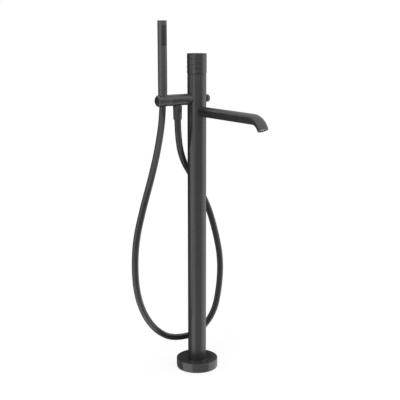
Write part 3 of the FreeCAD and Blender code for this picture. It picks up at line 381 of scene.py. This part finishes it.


# %% [markdown]
# ### Satin black coating on brass and steel
#
# The column, spout, arm, cover, knob and hand shower have one kind of coating. It is a baked
# lacquer, a little grey from the fine matting powder in it. That powder gives the eye a soft, wide
# highlight and a skin as fine as eggshell. Its grain is about 0.3 mm, too fine for the picture, so
# a second, coarser waviness of 4 mm stands in for what shows of it. The IOR starts from the 1.5 of
# a varnish, and was raised until the bands of light along the column were bright enough.
#
# The hand shower and the cover get a paler copy of the coating, painted light that lifts their
# tone above the column's, and the knob a darker copy, painted shade. The cover is also a little
# glossier.

# %% Satin black coating
GRAIN = 0.3 * MM
GRAIN_HEIGHT = 0.004 * MM
WAVE = 4 * MM
MOTTLE = 25 * MM
SATIN_RANGE = 0.03


def coating(name, dark, light, roughness, ior=1.85):
    """A matted lacquer between two close shades. Its gloss varies a little with the waviness."""
    material, tree = new_material(name)
    where = add_node(tree, "ShaderNodeTexCoord").outputs["Object"]
    colour = mottled(tree, where, dark, light, MOTTLE)
    grain = add_node(tree, "ShaderNodeTexNoise", Vector=where, Scale=1 / GRAIN, Detail=2)
    wave = add_node(tree, "ShaderNodeTexNoise", Vector=where, Scale=1 / WAVE, Detail=1)
    satin = add_node(
        tree,
        "ShaderNodeMapRange",
        Value=wave.outputs["Fac"],
        To_Min=roughness - SATIN_RANGE,
        To_Max=roughness + SATIN_RANGE,
    )
    skin = add_node(
        tree, "ShaderNodeBump", Height=grain.outputs["Fac"], Strength=0.25, Distance=GRAIN_HEIGHT
    )
    shader = add_node(
        tree,
        "ShaderNodeBsdfPrincipled",
        Base_Color=colour,
        Roughness=satin.outputs["Result"],
        IOR=ior,
        Normal=skin.outputs["Normal"],
    )
    return finish_material(material, tree, shader)


satin_black = coating("satin_black_lacquer", "#1f1f20", "#242425", 0.32)
# The hand shower's copy is painted a shade paler: painted light.
stick_black_painted_paler = coating("satin_black_lacquer_painted_paler_on_hand_shower", "#343436", "#3a3a3b", 0.32, ior=1.75)
# The knob's copy is painted a shade darker: painted shade.
knob_black_painted_darker = coating("satin_black_lacquer_painted_darker_on_knob", "#171718", "#1c1c1d", 0.33, ior=1.95)
# The cover's copy is painted a shade paler: painted light. Its lower roughness is its real gloss.
cover_black_painted_paler = coating("satin_black_lacquer_painted_paler_on_cover", "#29292a", "#2e2e2f", 0.22)

# %% [markdown]
# ### The other finishes
#
# The hose is a smooth black PVC with a silky surface. A faint sheen lights its edges, as the fine
# bloom on soft plastic does. The nozzles are silicone rubber, and the seals are a duller nitrile
# rubber. Inside, the fittings are machined brass and stainless steel, with fine turning marks, and
# a few pieces are moulded acetal.

# %% Plastics and rubbers
SHEEN_ROUGHNESS = 0.3


def moulded(name, dark, light, roughness, grain, height=0.01 * MM, ior=1.5, sheen=0.0):
    """A plastic or rubber whose mould left a fine grain of the given width and height."""
    material, tree = new_material(name)
    where = add_node(tree, "ShaderNodeTexCoord").outputs["Object"]
    colour = mottled(tree, where, dark, light, 20 * MM)
    texture = add_node(tree, "ShaderNodeTexNoise", Vector=where, Scale=1 / grain, Detail=3)
    skin = add_node(
        tree, "ShaderNodeBump", Height=texture.outputs["Fac"], Strength=0.3, Distance=height
    )
    shader = add_node(
        tree,
        "ShaderNodeBsdfPrincipled",
        Base_Color=colour,
        Roughness=roughness,
        IOR=ior,
        Sheen_Weight=sheen,
        Sheen_Roughness=SHEEN_ROUGHNESS,
        Normal=skin.outputs["Normal"],
    )
    return finish_material(material, tree, shader)


black_pvc = moulded("smooth_black_pvc", "#1f1f1f", "#242424", 0.2, 1.5 * MM, ior=1.65, sheen=0.33)
black_abs = moulded("black_abs", "#242425", "#29292a", 0.36, 0.6 * MM, ior=1.6)
white_acetal = moulded("white_acetal", "#d8d6cf", "#e2e0da", 0.4, 0.6 * MM, 0.005 * MM)
black_nitrile = moulded("black_nitrile_rubber", "#191919", "#1e1e1e", 0.62, 0.4 * MM, 0.02 * MM)
grey_silicone = moulded("grey_silicone_rubber", "#1c1c1d", "#222223", 0.5, 0.5 * MM)


# %% Machined metals
def machined(name, dark, light, roughness, mark=0.25 * MM):
    """Bare metal with the fine rings that a lathe tool leaves. At scale 1 the wave texture goes
    through 20 radians in a metre, and the scale below makes one ring as wide as a mark."""
    material, tree = new_material(name)
    where = add_node(tree, "ShaderNodeTexCoord").outputs["Object"]
    colour = mottled(tree, where, dark, light, 8 * MM)
    marks = add_node(
        tree,
        "ShaderNodeTexWave",
        {"wave_type": "BANDS", "bands_direction": "Z"},
        Vector=where,
        Scale=math.pi / (10 * mark),
        Distortion=0.3,
    )
    skin = add_node(
        tree, "ShaderNodeBump", Height=marks.outputs["Fac"], Strength=0.2, Distance=0.01 * MM
    )
    shader = add_node(
        tree,
        "ShaderNodeBsdfPrincipled",
        Base_Color=colour,
        Metallic=1.0,
        Roughness=roughness,
        Normal=skin.outputs["Normal"],
    )
    return finish_material(material, tree, shader)


turned_brass = machined("turned_brass", "#c9a35c", "#d6b26c", 0.3)
turned_steel = machined("turned_stainless_steel", "#a9a9aa", "#b9b9ba", 0.32)

# %% [markdown]
# ## The base cover
#
# The cover is a pressed disc that hides the floor plate and its bolts. From above it looks plain,
# so its edge has to be right: a small, even rounding all the way round. It is turned from its
# section, a thin wall with an open underside.

# %% Base cover
COVER_WALL = 2 * MM
COVER_HOLE = 26.3 * MM
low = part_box("cover_skirt")[0]
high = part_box("base_cover")[1]
cover_radius = high.x
cover = turned(
    "base_cover_piece",
    [
        (COVER_HOLE, high.z - COVER_WALL),
        (cover_radius - COVER_WALL, high.z - COVER_WALL),
        (cover_radius - COVER_WALL, low.z),
        (cover_radius, low.z),
        (cover_radius, high.z),
        (COVER_HOLE, high.z),
    ],
    rounding=0.7 * MM,
    steps=128,
)
print("base cover", len(cover.data.polygons), "faces")

# %% [markdown]
# ## The column
#
# The column is a drawn tube. Its holes for the arm, the spout and the diverter are drilled, so
# here they are cut with round bars. Its inner wall isn't modelled.

# %% Column
COLUMN_WALL = 1.5 * MM
low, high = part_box("column_tube")
column_radius = high.x
column_bore = column_radius - COLUMN_WALL
arm_level = middle("diverter_knob").z
spout_level = middle("spout_o_ring").z
column = turned(
    "column_piece",
    [
        (column_bore, low.z),
        (column_radius, low.z),
        (column_radius, high.z),
        (column_bore, high.z),
    ],
    rounding=0.3 * MM,
    steps=128,
)
DRILLED = [
    (8.3 * MM, (-column_radius, 0, arm_level), (0, 90, 0)),
    (8.3 * MM, (0, -column_radius, spout_level), (90, 0, 0)),
    (7.3 * MM, (column_radius, 0, arm_level), (0, 90, 0)),
]  # radius, middle, turn
for radius, place, turn in DRILLED:
    cut_away(column, bar(radius, column_radius, place, turn, vertices=48))
print("column", len(column.data.polygons), "faces")

# %% [markdown]
# ## The control knob
#
# The knob is a turned sleeve with three narrow ring grooves, which give wet fingers a hold, and a
# cap that sits on it with a fine line between them. The grooves are part of the outline, so one
# spin makes them all. A small hole at the back lets a key reach the screw that holds the knob.

# %% Knob
FIT = 0.05 * MM  # how much thinner a piece is than the hole that it stands in
KNOB_WALL = 2.4 * MM
CAP_THICKNESS = 2.6 * MM
SCREW_RADIUS = 2 * MM
GROOVE_PITCH = 13.4 * MM
FIRST_GROOVE = 16 * MM
GROOVE_WIDTH = 1.5 * MM
GROOVE_DEPTH = 1.1 * MM
GROOVES = 3
low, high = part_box("knob_shell")
cap_low, knob_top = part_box("knob_cap")
knob_radius = knob_top.x


def grooved_side():
    """The knob's side from its foot to its head, with a notch for each groove."""
    side = [(knob_radius, low.z)]
    for i in reversed(range(GROOVES)):
        level = knob_top.z - FIRST_GROOVE - GROOVE_PITCH * i
        side += [
            (knob_radius, level - GROOVE_WIDTH / 2),
            (knob_radius - GROOVE_DEPTH, level - GROOVE_WIDTH / 2),
            (knob_radius - GROOVE_DEPTH, level + GROOVE_WIDTH / 2),
            (knob_radius, level + GROOVE_WIDTH / 2),
        ]
    return side + [(knob_radius, high.z)]


knob_bore = knob_radius - KNOB_WALL
knob_sleeve = turned(
    "knob_sleeve",
    [(knob_bore, low.z), *grooved_side(), (knob_bore, high.z)],
    rounding=0.25 * MM,
    steps=128,
)
screw_place = (0, knob_radius, middle("knob_grub_screw").z)
cut_away(knob_sleeve, bar(SCREW_RADIUS, 12 * MM, screw_place, (90, 0, 0), vertices=32))
cap_spigot = knob_bore - FIT
knob_lid = turned(
    "knob_lid",
    [
        (0, cap_low.z),
        (cap_spigot, cap_low.z),
        (cap_spigot, knob_top.z - CAP_THICKNESS),
        (knob_radius, knob_top.z - CAP_THICKNESS),
        (knob_radius, knob_top.z),
        (0, knob_top.z),
    ],
    rounding=0.6 * MM,
    steps=128,
)
print("knob", len(knob_sleeve.data.polygons) + len(knob_lid.data.polygons), "faces")

# %% [markdown]
# ## The spout
#
# A spout is a tube that was bent round a former, so its line is a straight run and a true arc. The
# ring at the end of the run is spun about the middle of the bend. The mouth is then recessed for
# the aerator, and the root is cut to the shape of the column that it meets.

# %% Spout
SPOUT_BEND = 65
SPOUT_BEND_RADIUS = 42.5 * MM
SPOUT_STRAIGHT = 246 * MM
SPOUT_RADIUS = 14 * MM
MOUTH_RADIUS = 11.9 * MM
MOUTH_DEPTH = 10.4 * MM
SADDLE = 26.9 * MM
LONG_BAR = 100 * MM


def bent_spout():
    """The outside of the spout: a ring extruded along the run, then spun round the bend."""
    bpy.ops.object.select_all(action="DESELECT")
    bpy.ops.mesh.primitive_circle_add(
        vertices=96,
        radius=SPOUT_RADIUS,
        fill_type="NGON",
        location=(0, 0, spout_level),
        rotation=(math.radians(90), 0, 0),
    )
    thing = bpy.context.object
    thing.name = "spout_piece"
    thing.data.name = "spout_piece"
    bpy.ops.object.transform_apply(location=True, rotation=True, scale=True)
    bpy.ops.object.mode_set(mode="EDIT")
    run = {"value": (0, -SPOUT_STRAIGHT, 0)}
    bpy.ops.mesh.extrude_region_move(TRANSFORM_OT_translate=run)
    bpy.ops.mesh.spin(
        steps=28,
        angle=-math.radians(SPOUT_BEND),
        center=(0, -SPOUT_STRAIGHT, spout_level - SPOUT_BEND_RADIUS),
        axis=(1, 0, 0),
    )
    return thing


def recess_mouth():
    """Draw the mouth's face inwards and push it back along the stream."""
    bend = math.radians(SPOUT_BEND)
    back = Vector((0, math.cos(bend), math.sin(bend))) * MOUTH_DEPTH
    bpy.ops.mesh.inset(thickness=SPOUT_RADIUS - MOUTH_RADIUS)
    bpy.ops.mesh.extrude_region_move(TRANSFORM_OT_translate={"value": back})


spout = bent_spout()
recess_mouth()
bpy.ops.mesh.select_all(action="SELECT")
bpy.ops.mesh.remove_doubles(threshold=MM / 1000)
bpy.ops.mesh.normals_make_consistent(inside=False)
bpy.ops.object.mode_set(mode="OBJECT")
cut_away(spout, bar(SADDLE, LONG_BAR, (0, 0, spout_level)))
round_edges(spout, 0.4 * MM, angle=50)
print("spout reaches", [round(c, 4) for c in spout.bound_box[0]])

# %% [markdown]
# ## The arm and the holder
#
# The arm is a tube with a separate end piece, and the fine line between the two shows. The end
# piece has an upright hole, lined with a plastic bush, that the hand shower stands in, and a wide
# chamfer round its far end, so that the round face there is smaller than the arm. Both lie along
# X, so they are turned upright first and then laid down.

# %% Arm
ARM_RADIUS = 15.35 * MM
ARM_WALL = 2 * MM
ARM_SEAM = 88 * MM
ARM_START = 10 * MM
SPIGOT_LENGTH = 8 * MM
SEAM_CHAMFER = 0.4 * MM
OUTLET_REACH = 64 * MM
OUTLET_HOLE = 10.65 * MM
HOLDER_REACH = 111.2 * MM
HOLDER_BORE = 13.15 * MM
ARM_END = -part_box("holder_end")[0].x
HOLDER_CHAMFER = 4 * MM


def laid_along_arm(thing):
    """From upright on the origin to lying along -X at the arm's level."""
    return settle(thing, (0, 0, arm_level), (0, -90, 0))


arm = turned(
    "arm_piece",
    [
        (ARM_RADIUS - ARM_WALL, ARM_START),
        (ARM_RADIUS, ARM_START),
        (ARM_RADIUS, ARM_SEAM),
        (ARM_RADIUS - ARM_WALL, ARM_SEAM),
    ],
    rounding=0.25 * MM,
)
laid_along_arm(arm)
cut_away(arm, bar(SADDLE, LONG_BAR, (0, 0, arm_level)))
cut_away(arm, bar(OUTLET_HOLE, 20 * MM, (-OUTLET_REACH, 0, arm_level - ARM_RADIUS)))

spigot_radius = ARM_RADIUS - ARM_WALL - FIT
holder = turned(
    "holder_piece",
    [
        (0, ARM_SEAM - SPIGOT_LENGTH),
        (spigot_radius, ARM_SEAM - SPIGOT_LENGTH),
        (spigot_radius, ARM_SEAM),
        (ARM_RADIUS - SEAM_CHAMFER, ARM_SEAM),
        (ARM_RADIUS, ARM_SEAM + SEAM_CHAMFER),
        (ARM_RADIUS, ARM_END - HOLDER_CHAMFER),
        (ARM_RADIUS - HOLDER_CHAMFER, ARM_END),
        (0, ARM_END),
    ],
    rounding=0.8 * MM,
    segments=4,
)
laid_along_arm(holder)
cut_away(holder, bar(HOLDER_BORE, LONG_BAR, (-HOLDER_REACH, 0, arm_level)))
round_edges(holder, 0.35 * MM, angle=60)
print("arm and holder", len(arm.data.polygons) + len(holder.data.polygons), "faces")

# %% [markdown]
# ## The hose nuts
#
# Each end of the hose has a long, slightly tapered nut, smooth so that it can be tightened by
# hand. Both are one shape. The one on the hand shower's end stands in the holder like a cork.

# %% Hose nuts
NUT_RADIUS = 12.35 * MM
NUT_END_RADIUS = 11.35 * MM
NUT_BORE = 9.5 * MM
THREAD_BORE = 10.45 * MM
NUT_LENGTH = 37 * MM
THREAD_DEPTH = 16.5 * MM


def hose_nut(name, x, top):
    """A nut with its threaded mouth up, at its place along the arm."""
    thing = turned(
        name,
        [
            (NUT_BORE, top - NUT_LENGTH),
            (NUT_END_RADIUS, top - NUT_LENGTH),
            (NUT_RADIUS, top),
            (THREAD_BORE, top),
            (THREAD_BORE, top - THREAD_DEPTH),
            (NUT_BORE, top - THREAD_DEPTH),
        ],
        rounding=0.6 * MM,
    )
    return settle(thing, (x, 0, 0))


outlet_nut = hose_nut("outlet_nut_piece", -OUTLET_REACH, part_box("outlet_hose_nut")[1].z)
cone_nut = hose_nut("cone_nut_piece", -HOLDER_REACH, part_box("handset_cone_nut")[1].z)

# %% [markdown]
# ## The hand shower
#
# The stick is a thin tube. Its spray face is a curved window near the top, and soft nozzles stand
# through it in rows. A face that is spun through part of a turn gives a curved slab, which serves
# as the cutter for the window, as the face that fills it, and as the mat behind it.
#
# The inner wall isn't modelled, so the cut also leaves a strip as wide as the window inside the
# stick, where the cutter's own inner side was. The mat hides it.

# %% Hand shower: tube and cap
HANDSET_RADIUS = 12.35 * MM
HANDSET_WALL = 1.3 * MM
HANDSET_BORE = HANDSET_RADIUS - HANDSET_WALL
SPRAY_ANGLE = 84
SPRAY_ANGLE_PLAY = 1
SLIT = 0.1 * MM
GAP = 0.35 * MM  # above and below the spray face, which draws the dark lines there
CAP_LINE = 0.2 * MM
CUTTER_INNER = 9 * MM
CUTTER_OUTER = 14 * MM
tube_low, tube_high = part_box("handset_tube")
spray_low, spray_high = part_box("spray_plate")


def curved_slab(name, inner, outer, bottom, top, angle):
    """A slab that bends round the stick's axis, and faces the way the spout points."""
    width = outer - inner
    bpy.ops.object.select_all(action="DESELECT")
    bpy.ops.mesh.primitive_plane_add(size=1, rotation=(math.radians(90), 0, 0))
    thing = bpy.context.object
    thing.name = name
    thing.data.name = name
    thing.scale = (width, top - bottom, 1)
    thing.location = (inner + width / 2, 0, (top + bottom) / 2)
    bpy.ops.object.transform_apply(location=True, rotation=True, scale=True)
    bpy.ops.object.mode_set(mode="EDIT")
    bpy.ops.mesh.spin(steps=40, angle=-math.radians(angle), center=(0, 0, 0), axis=(0, 0, 1))
    bpy.ops.mesh.select_all(action="SELECT")
    bpy.ops.mesh.remove_doubles(threshold=MM / 1000)
    bpy.ops.mesh.normals_make_consistent(inside=False)
    bpy.ops.object.mode_set(mode="OBJECT")
    return settle(thing, (-HOLDER_REACH, 0, 0), (0, 0, -90 - angle / 2))


stick = turned(
    "stick_tube",
    [
        (HANDSET_BORE, tube_low.z),
        (HANDSET_RADIUS, tube_low.z),
        (HANDSET_RADIUS, tube_high.z),
        (HANDSET_BORE, tube_high.z),
    ],
    rounding=0.35 * MM,
)
settle(stick, (-HOLDER_REACH, 0, 0))
window = curved_slab(
    "window",
    CUTTER_INNER,
    CUTTER_OUTER,
    spray_low.z - GAP,
    spray_high.z + GAP,
    SPRAY_ANGLE,
)
cut_away(stick, window)

cap_foot, stick_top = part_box("handset_cap")
stick_cap = turned(
    "stick_cap",
    [
        (0, cap_foot.z),
        (HANDSET_BORE - SLIT, cap_foot.z),
        (HANDSET_BORE - SLIT, tube_high.z + CAP_LINE),
        (HANDSET_RADIUS, tube_high.z + CAP_LINE),
        (HANDSET_RADIUS, stick_top.z),
        (0, stick_top.z),
    ],
    rounding=0.5 * MM,
)
settle(stick_cap, (-HOLDER_REACH, 0, 0))

# %% [markdown]
# Each nozzle is a small blunt cone with a dimple for the jet. It is modelled once, at a few dozen
# faces, and copied to every place in the rows.

# %% Hand shower: spray face and nozzles
NOZZLE_ROWS = 11
NOZZLE_PITCH = 4.83 * MM
NOZZLE_COLUMNS = 5
NOZZLE_ANGLE = 16.5
NOZZLE_PROUD = 0.75 * MM
MAT_THICKNESS = 1 * MM
spray_face = curved_slab(
    "spray_face",
    HANDSET_BORE + SLIT,
    HANDSET_RADIUS - FIT,
    spray_low.z,
    spray_high.z,
    SPRAY_ANGLE - SPRAY_ANGLE_PLAY,
)
round_edges(spray_face, 0.2 * MM, angle=50)

one_nozzle = turned(
    "one_nozzle",
    [
        (0, HANDSET_BORE - 0.5 * MM),
        (1.05 * MM, HANDSET_BORE - 0.5 * MM),
        (0.95 * MM, HANDSET_RADIUS + NOZZLE_PROUD * 0.5),
        (0.62 * MM, HANDSET_RADIUS + NOZZLE_PROUD),
        (0.36 * MM, HANDSET_RADIUS + NOZZLE_PROUD),
        (0.3 * MM, HANDSET_RADIUS + NOZZLE_PROUD * 0.3),
        (0, HANDSET_RADIUS + NOZZLE_PROUD * 0.3),
    ],
    rounding=0.05 * MM,
    steps=12,
    segments=1,
)


def nozzle_copy(row, column):
    """A copy with its own mesh, laid down and turned to its place in the grid."""
    thing = one_nozzle.copy()
    thing.data = one_nozzle.data.copy()
    bpy.context.scene.collection.objects.link(thing)
    level = (spray_low.z + spray_high.z) / 2 + NOZZLE_PITCH * (row - (NOZZLE_ROWS - 1) / 2)
    settle(thing, turn=(90, 0, 0))
    aside = NOZZLE_ANGLE * (column - (NOZZLE_COLUMNS - 1) / 2)
    return settle(thing, (-HOLDER_REACH, 0, level), (0, 0, aside))


nozzle_mat = curved_slab(
    "nozzle_mat_piece",
    HANDSET_BORE - MAT_THICKNESS,
    HANDSET_BORE,
    spray_low.z,
    spray_high.z,
    SPRAY_ANGLE - SPRAY_ANGLE_PLAY,
)
nozzles = [nozzle_copy(r, c) for r in range(NOZZLE_ROWS) for c in range(NOZZLE_COLUMNS)]
bpy.data.objects.remove(one_nozzle)
only(nozzle_mat)
for nozzle in nozzles:
    nozzle.select_set(True)
bpy.ops.object.join()
print("nozzle mat", len(nozzle_mat.data.polygons), "faces")

# %% [markdown]
# ## The diverter knob
#
# The little knob opposite the arm is pulled to send the water to the hand shower. It is a short
# turned button with a well-rounded rim, laid along +X.

# %% Diverter knob
knob_foot, knob_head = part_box("diverter_knob")
diverter_radius = (knob_head.z - knob_foot.z) / 2
DIVERTER_BORE = 3.02 * MM
DIVERTER_FACE = 2.45 * MM
diverter_knob = turned(
    "diverter_button",
    [
        (0, knob_head.x - DIVERTER_FACE),
        (DIVERTER_BORE, knob_head.x - DIVERTER_FACE),
        (DIVERTER_BORE, knob_foot.x),
        (diverter_radius, knob_foot.x),
        (diverter_radius, knob_head.x),
        (0, knob_head.x),
    ],
    rounding=1.0 * MM,
    segments=4,
)
settle(diverter_knob, (0, 0, arm_level), (0, 90, 0))

# %% [markdown]
# ## What each piece stands for
#
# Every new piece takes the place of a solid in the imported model, moves with that solid's body and
# keeps its finish. The solids that stay get a finish too, by the slot that the record gives them.

# %% Bodies, replaced solids and finishes
NEW_PIECES = [
    (cover, "filler", ("base_cover", "cover_skirt"), "satin_black_metal", cover_black_painted_paler),
    (column, "filler", ("column_tube",), "satin_black_metal", satin_black),
    (knob_sleeve, "knob", ("knob_shell",), "satin_black_knob", knob_black_painted_darker),
    (knob_lid, "knob", ("knob_cap",), "satin_black_knob", knob_black_painted_darker),
    (spout, "filler", ("spout_tube",), "satin_black_metal", satin_black),
    (arm, "filler", ("arm_tube",), "satin_black_metal", satin_black),
    (holder, "filler", ("holder_end",), "satin_black_metal", satin_black),
    (outlet_nut, "filler", ("outlet_hose_nut",), "satin_black_metal", satin_black),
    (cone_nut, "handset", ("handset_cone_nut",), "satin_black_metal", stick_black_painted_paler),
    (stick, "handset", ("handset_tube",), "satin_black_metal", stick_black_painted_paler),
    (stick_cap, "handset", ("handset_cap",), "satin_black_metal", stick_black_painted_paler),
    (spray_face, "handset", ("spray_plate",), "black_plastic", black_abs),
    (nozzle_mat, "handset", ("nozzle_mat",), "grey_rubber", grey_silicone),
    (diverter_knob, "diverter", ("diverter_knob",), "satin_black_metal", satin_black),
    (hose, None, ("shower_hose",), "black_hose", black_pvc),
]
SLOT_FINISH = {
    "satin_black_metal": satin_black,
    "satin_black_knob": knob_black_painted_darker,
    "black_hose": black_pvc,
    "black_plastic": black_abs,
    "white_plastic": white_acetal,
    "black_rubber": black_nitrile,
    "grey_rubber": grey_silicone,
    "brass": turned_brass,
    "steel": turned_steel,
}

for piece, body, nodes, slot, material in NEW_PIECES:
    piece.data.materials.clear()
    piece.data.materials.append(material)
    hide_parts(*nodes)
    if body:
        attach(piece, body)

for row in frame["record"]["subparts"]:
    node = frame["nodes"][row["node"]]
    node.data.materials.clear()
    node.data.materials.append(SLOT_FINISH[row["material_slot"]])
print(len(NEW_PIECES), "new pieces and", len(frame["nodes"]), "solids have their finish")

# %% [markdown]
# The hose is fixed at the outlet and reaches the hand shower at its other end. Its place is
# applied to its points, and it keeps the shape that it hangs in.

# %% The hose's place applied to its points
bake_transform(hose)

# %% [markdown]
# ## The studio
#
# The floor and the backdrop are white. Satin black only looks like satin black when it has
# something to reflect, so dark flags stand round the set, as a product photographer would place
# them, with gaps between them. The white that shows through a gap draws a soft bright band along
# the column. The flags are seen only in reflections.
#
# The floor stays white all round, but keeps the object's soft shadow near its foot. A share of it
# glows by itself, and that share grows with the distance.

# %% Floor
def glow(name, level):
    """A plain surface that shines by itself at one level, where 1 is white."""
    material, tree = new_material(name)
    light = add_node(tree, "ShaderNodeEmission", Color=(level, level, level, 1), Strength=1.0)
    add_node(tree, "ShaderNodeOutputMaterial", Surface=light.outputs["Emission"])
    return material


def seen_directly(tree):
    """1 for a ray from the camera or off a gloss or glass surface, and 0 for any other."""
    path = add_node(tree, "ShaderNodeLightPath")
    first = add_node(tree, "ShaderNodeMath", {"operation": "MAXIMUM"})
    tree.links.new(path.outputs["Is Camera Ray"], first.inputs[0])
    tree.links.new(path.outputs["Is Glossy Ray"], first.inputs[1])
    both = add_node(tree, "ShaderNodeMath", {"operation": "MAXIMUM"})
    tree.links.new(first.outputs[0], both.inputs[0])
    tree.links.new(path.outputs["Is Transmission Ray"], both.inputs[1])
    return both.outputs[0]


FLOOR_SIZE = 30
FLOOR_DROP = 0.2 * MM
FLOOR_SHADOW = 0.18
SHADOW_START = 0.15
SHADOW_REACH = 1.2
bpy.ops.object.select_all(action="DESELECT")
bpy.ops.mesh.primitive_plane_add(size=FLOOR_SIZE, location=(0, 0, -FLOOR_DROP))
floor = bpy.context.object
floor.name = "studio_floor"
floor_material, tree = new_material("white_floor")
plain = add_node(tree, "ShaderNodeBsdfDiffuse", Color=linear("#f9f9f9"))
white = add_node(tree, "ShaderNodeEmission", Color=(1, 1, 1, 1), Strength=1.0)
seen = seen_directly(tree)
where = add_node(tree, "ShaderNodeTexCoord").outputs["Object"]
distance = add_node(tree, "ShaderNodeVectorMath", {"operation": "LENGTH"})
tree.links.new(where, distance.inputs[0])
glowing = add_node(
    tree,
    "ShaderNodeMapRange",
    Value=distance.outputs["Value"],
    From_Min=SHADOW_START,
    From_Max=SHADOW_REACH,
    To_Min=1 - FLOOR_SHADOW,
    To_Max=1,
)
share = add_node(tree, "ShaderNodeMath", {"operation": "MULTIPLY"})
tree.links.new(seen, share.inputs[0])
tree.links.new(glowing.outputs["Result"], share.inputs[1])
mixed = add_node(tree, "ShaderNodeMixShader", Fac=share.outputs[0])
tree.links.new(plain.outputs[0], mixed.inputs[1])
tree.links.new(white.outputs[0], mixed.inputs[2])
add_node(tree, "ShaderNodeOutputMaterial", Surface=mixed.outputs[0])
floor.data.materials.append(floor_material)

# %% Backdrop
WORLD_LIGHT = 0.8
world = bpy.data.worlds.new("white_backdrop")
bpy.context.scene.world = world
world.use_nodes = True
tree = world.node_tree
tree.nodes.clear()
dim = add_node(tree, "ShaderNodeBackground", Color=(1, 1, 1, 1), Strength=WORLD_LIGHT)
bright = add_node(tree, "ShaderNodeBackground", Color=(1, 1, 1, 1), Strength=1.0)
mixed = add_node(tree, "ShaderNodeMixShader", Fac=seen_directly(tree))
tree.links.new(dim.outputs[0], mixed.inputs[1])
tree.links.new(bright.outputs[0], mixed.inputs[2])
add_node(tree, "ShaderNodeOutputWorld", Surface=mixed.outputs[0])


# %% [markdown]
# ### Flags
#
# A flag is a dark cloth on a stand. Each one here is a line that is swept round the object through
# a range of angles. The lower parts of the object mirror the floor instead of the walls, so each
# flag goes on as a strip of cloth along the floor. The three flags stand in front and to the
# right, on the left round to the back, and behind.

# %% Flags
def hide_all_but_reflections(thing):
    """Gloss still shows it. The camera, the soft light and the shadows don't."""
    thing.visible_camera = False
    thing.visible_diffuse = False
    thing.visible_shadow = False
    thing.visible_transmission = False


FLAG_RADIUS = 2.0
FLAG_STEPS = 24


def flag(name, outline, start, end, level):
    """A dark cloth swept round the object. Angles are read to the right of the camera."""
    facing = -90 + CAMERA_HEADING
    thing = drawn(name, outline)
    bpy.ops.mesh.select_all(action="SELECT")
    sweep = math.radians(end - start)
    bpy.ops.mesh.spin(steps=FLAG_STEPS, angle=-sweep, center=(0, 0, 0), axis=(0, 0, 1))
    bpy.ops.object.mode_set(mode="OBJECT")
    settle(thing, turn=(0, 0, facing + start))
    thing.data.materials.append(glow(f"{name}_cloth", level))
    hide_all_but_reflections(thing)


STRIP_CLEARANCE = 2 * MM
STRIP_LEVEL = 1 * MM


def compass(heading):
    """A step of one metre along the floor."""
    return Vector((math.cos(heading), math.sin(heading), 0))


def floor_strip(name, start, end, level):
    """A dark cloth on the floor. A round body turns a reflection by twice its own angle, so the
    cloth's inner edge runs round the foot at half the angle that its outer edge looks in."""
    foot = cover_radius + STRIP_CLEARANCE
    looking = math.radians(-90 + CAMERA_HEADING)
    lift = Vector((0, 0, STRIP_LEVEL))
    vertices = []
    for i in range(FLAG_STEPS + 1):
        turn = math.radians(start + (end - start) * i / FLAG_STEPS)
        inner = lift + compass(looking + turn / 2) * foot
        vertices += [inner, inner + compass(looking + turn) * FLAG_RADIUS]
    faces = [(2 * i, 2 * i + 1, 2 * i + 3, 2 * i + 2) for i in range(FLAG_STEPS)]
    mesh = bpy.data.meshes.new(name)
    mesh.from_pydata(vertices, [], faces)
    thing = bpy.data.objects.new(name, mesh)
    bpy.context.scene.collection.objects.link(thing)
    thing.data.materials.append(glow(f"{name}_cloth", level))
    hide_all_but_reflections(thing)


# Each row holds a name, the angles where it starts and ends, its top, and its two levels.
FLAGS = [
    ("front_flag", -26, 70, 1.5, 0.3, 0.42),
    ("left_rear_flag", -185, -88, 1.7, 0.05, 0.15),
    ("rear_flag", 145, 175, 1.7, 0.2, 0.6),
]
for name, start, end, top, wall_level, floor_level in FLAGS:
    flag(name, [(FLAG_RADIUS, 0), (FLAG_RADIUS, top)], start, end, wall_level)
    floor_strip(f"{name}_floor", start, end, floor_level)


# %% [markdown]
# ### Lamps
#
# Two large soft lamps light the object from above and from the left. They are left out of the
# reflections, because the white of the backdrop already draws the bright bands there.

# %% Lamps
HALF_HEIGHT = 0.5


def softbox(name, place, size, power):
    """A square lamp that faces the middle of the object."""
    bpy.ops.object.light_add(type="AREA", location=place)
    lamp = bpy.context.object
    lamp.name = name
    lamp.data.size = size
    lamp.data.energy = power
    aim = Vector((0, 0, HALF_HEIGHT)) - Vector(place)
    lamp.rotation_euler = aim.to_track_quat("-Z", "Y").to_euler()
    lamp.visible_glossy = False
    return lamp


softbox("overhead_softbox", place=(-0.3, -0.6, 2.6), size=1.6, power=22)
softbox("side_softbox", place=(-2.0, -0.8, 1.6), size=1.2, power=12)
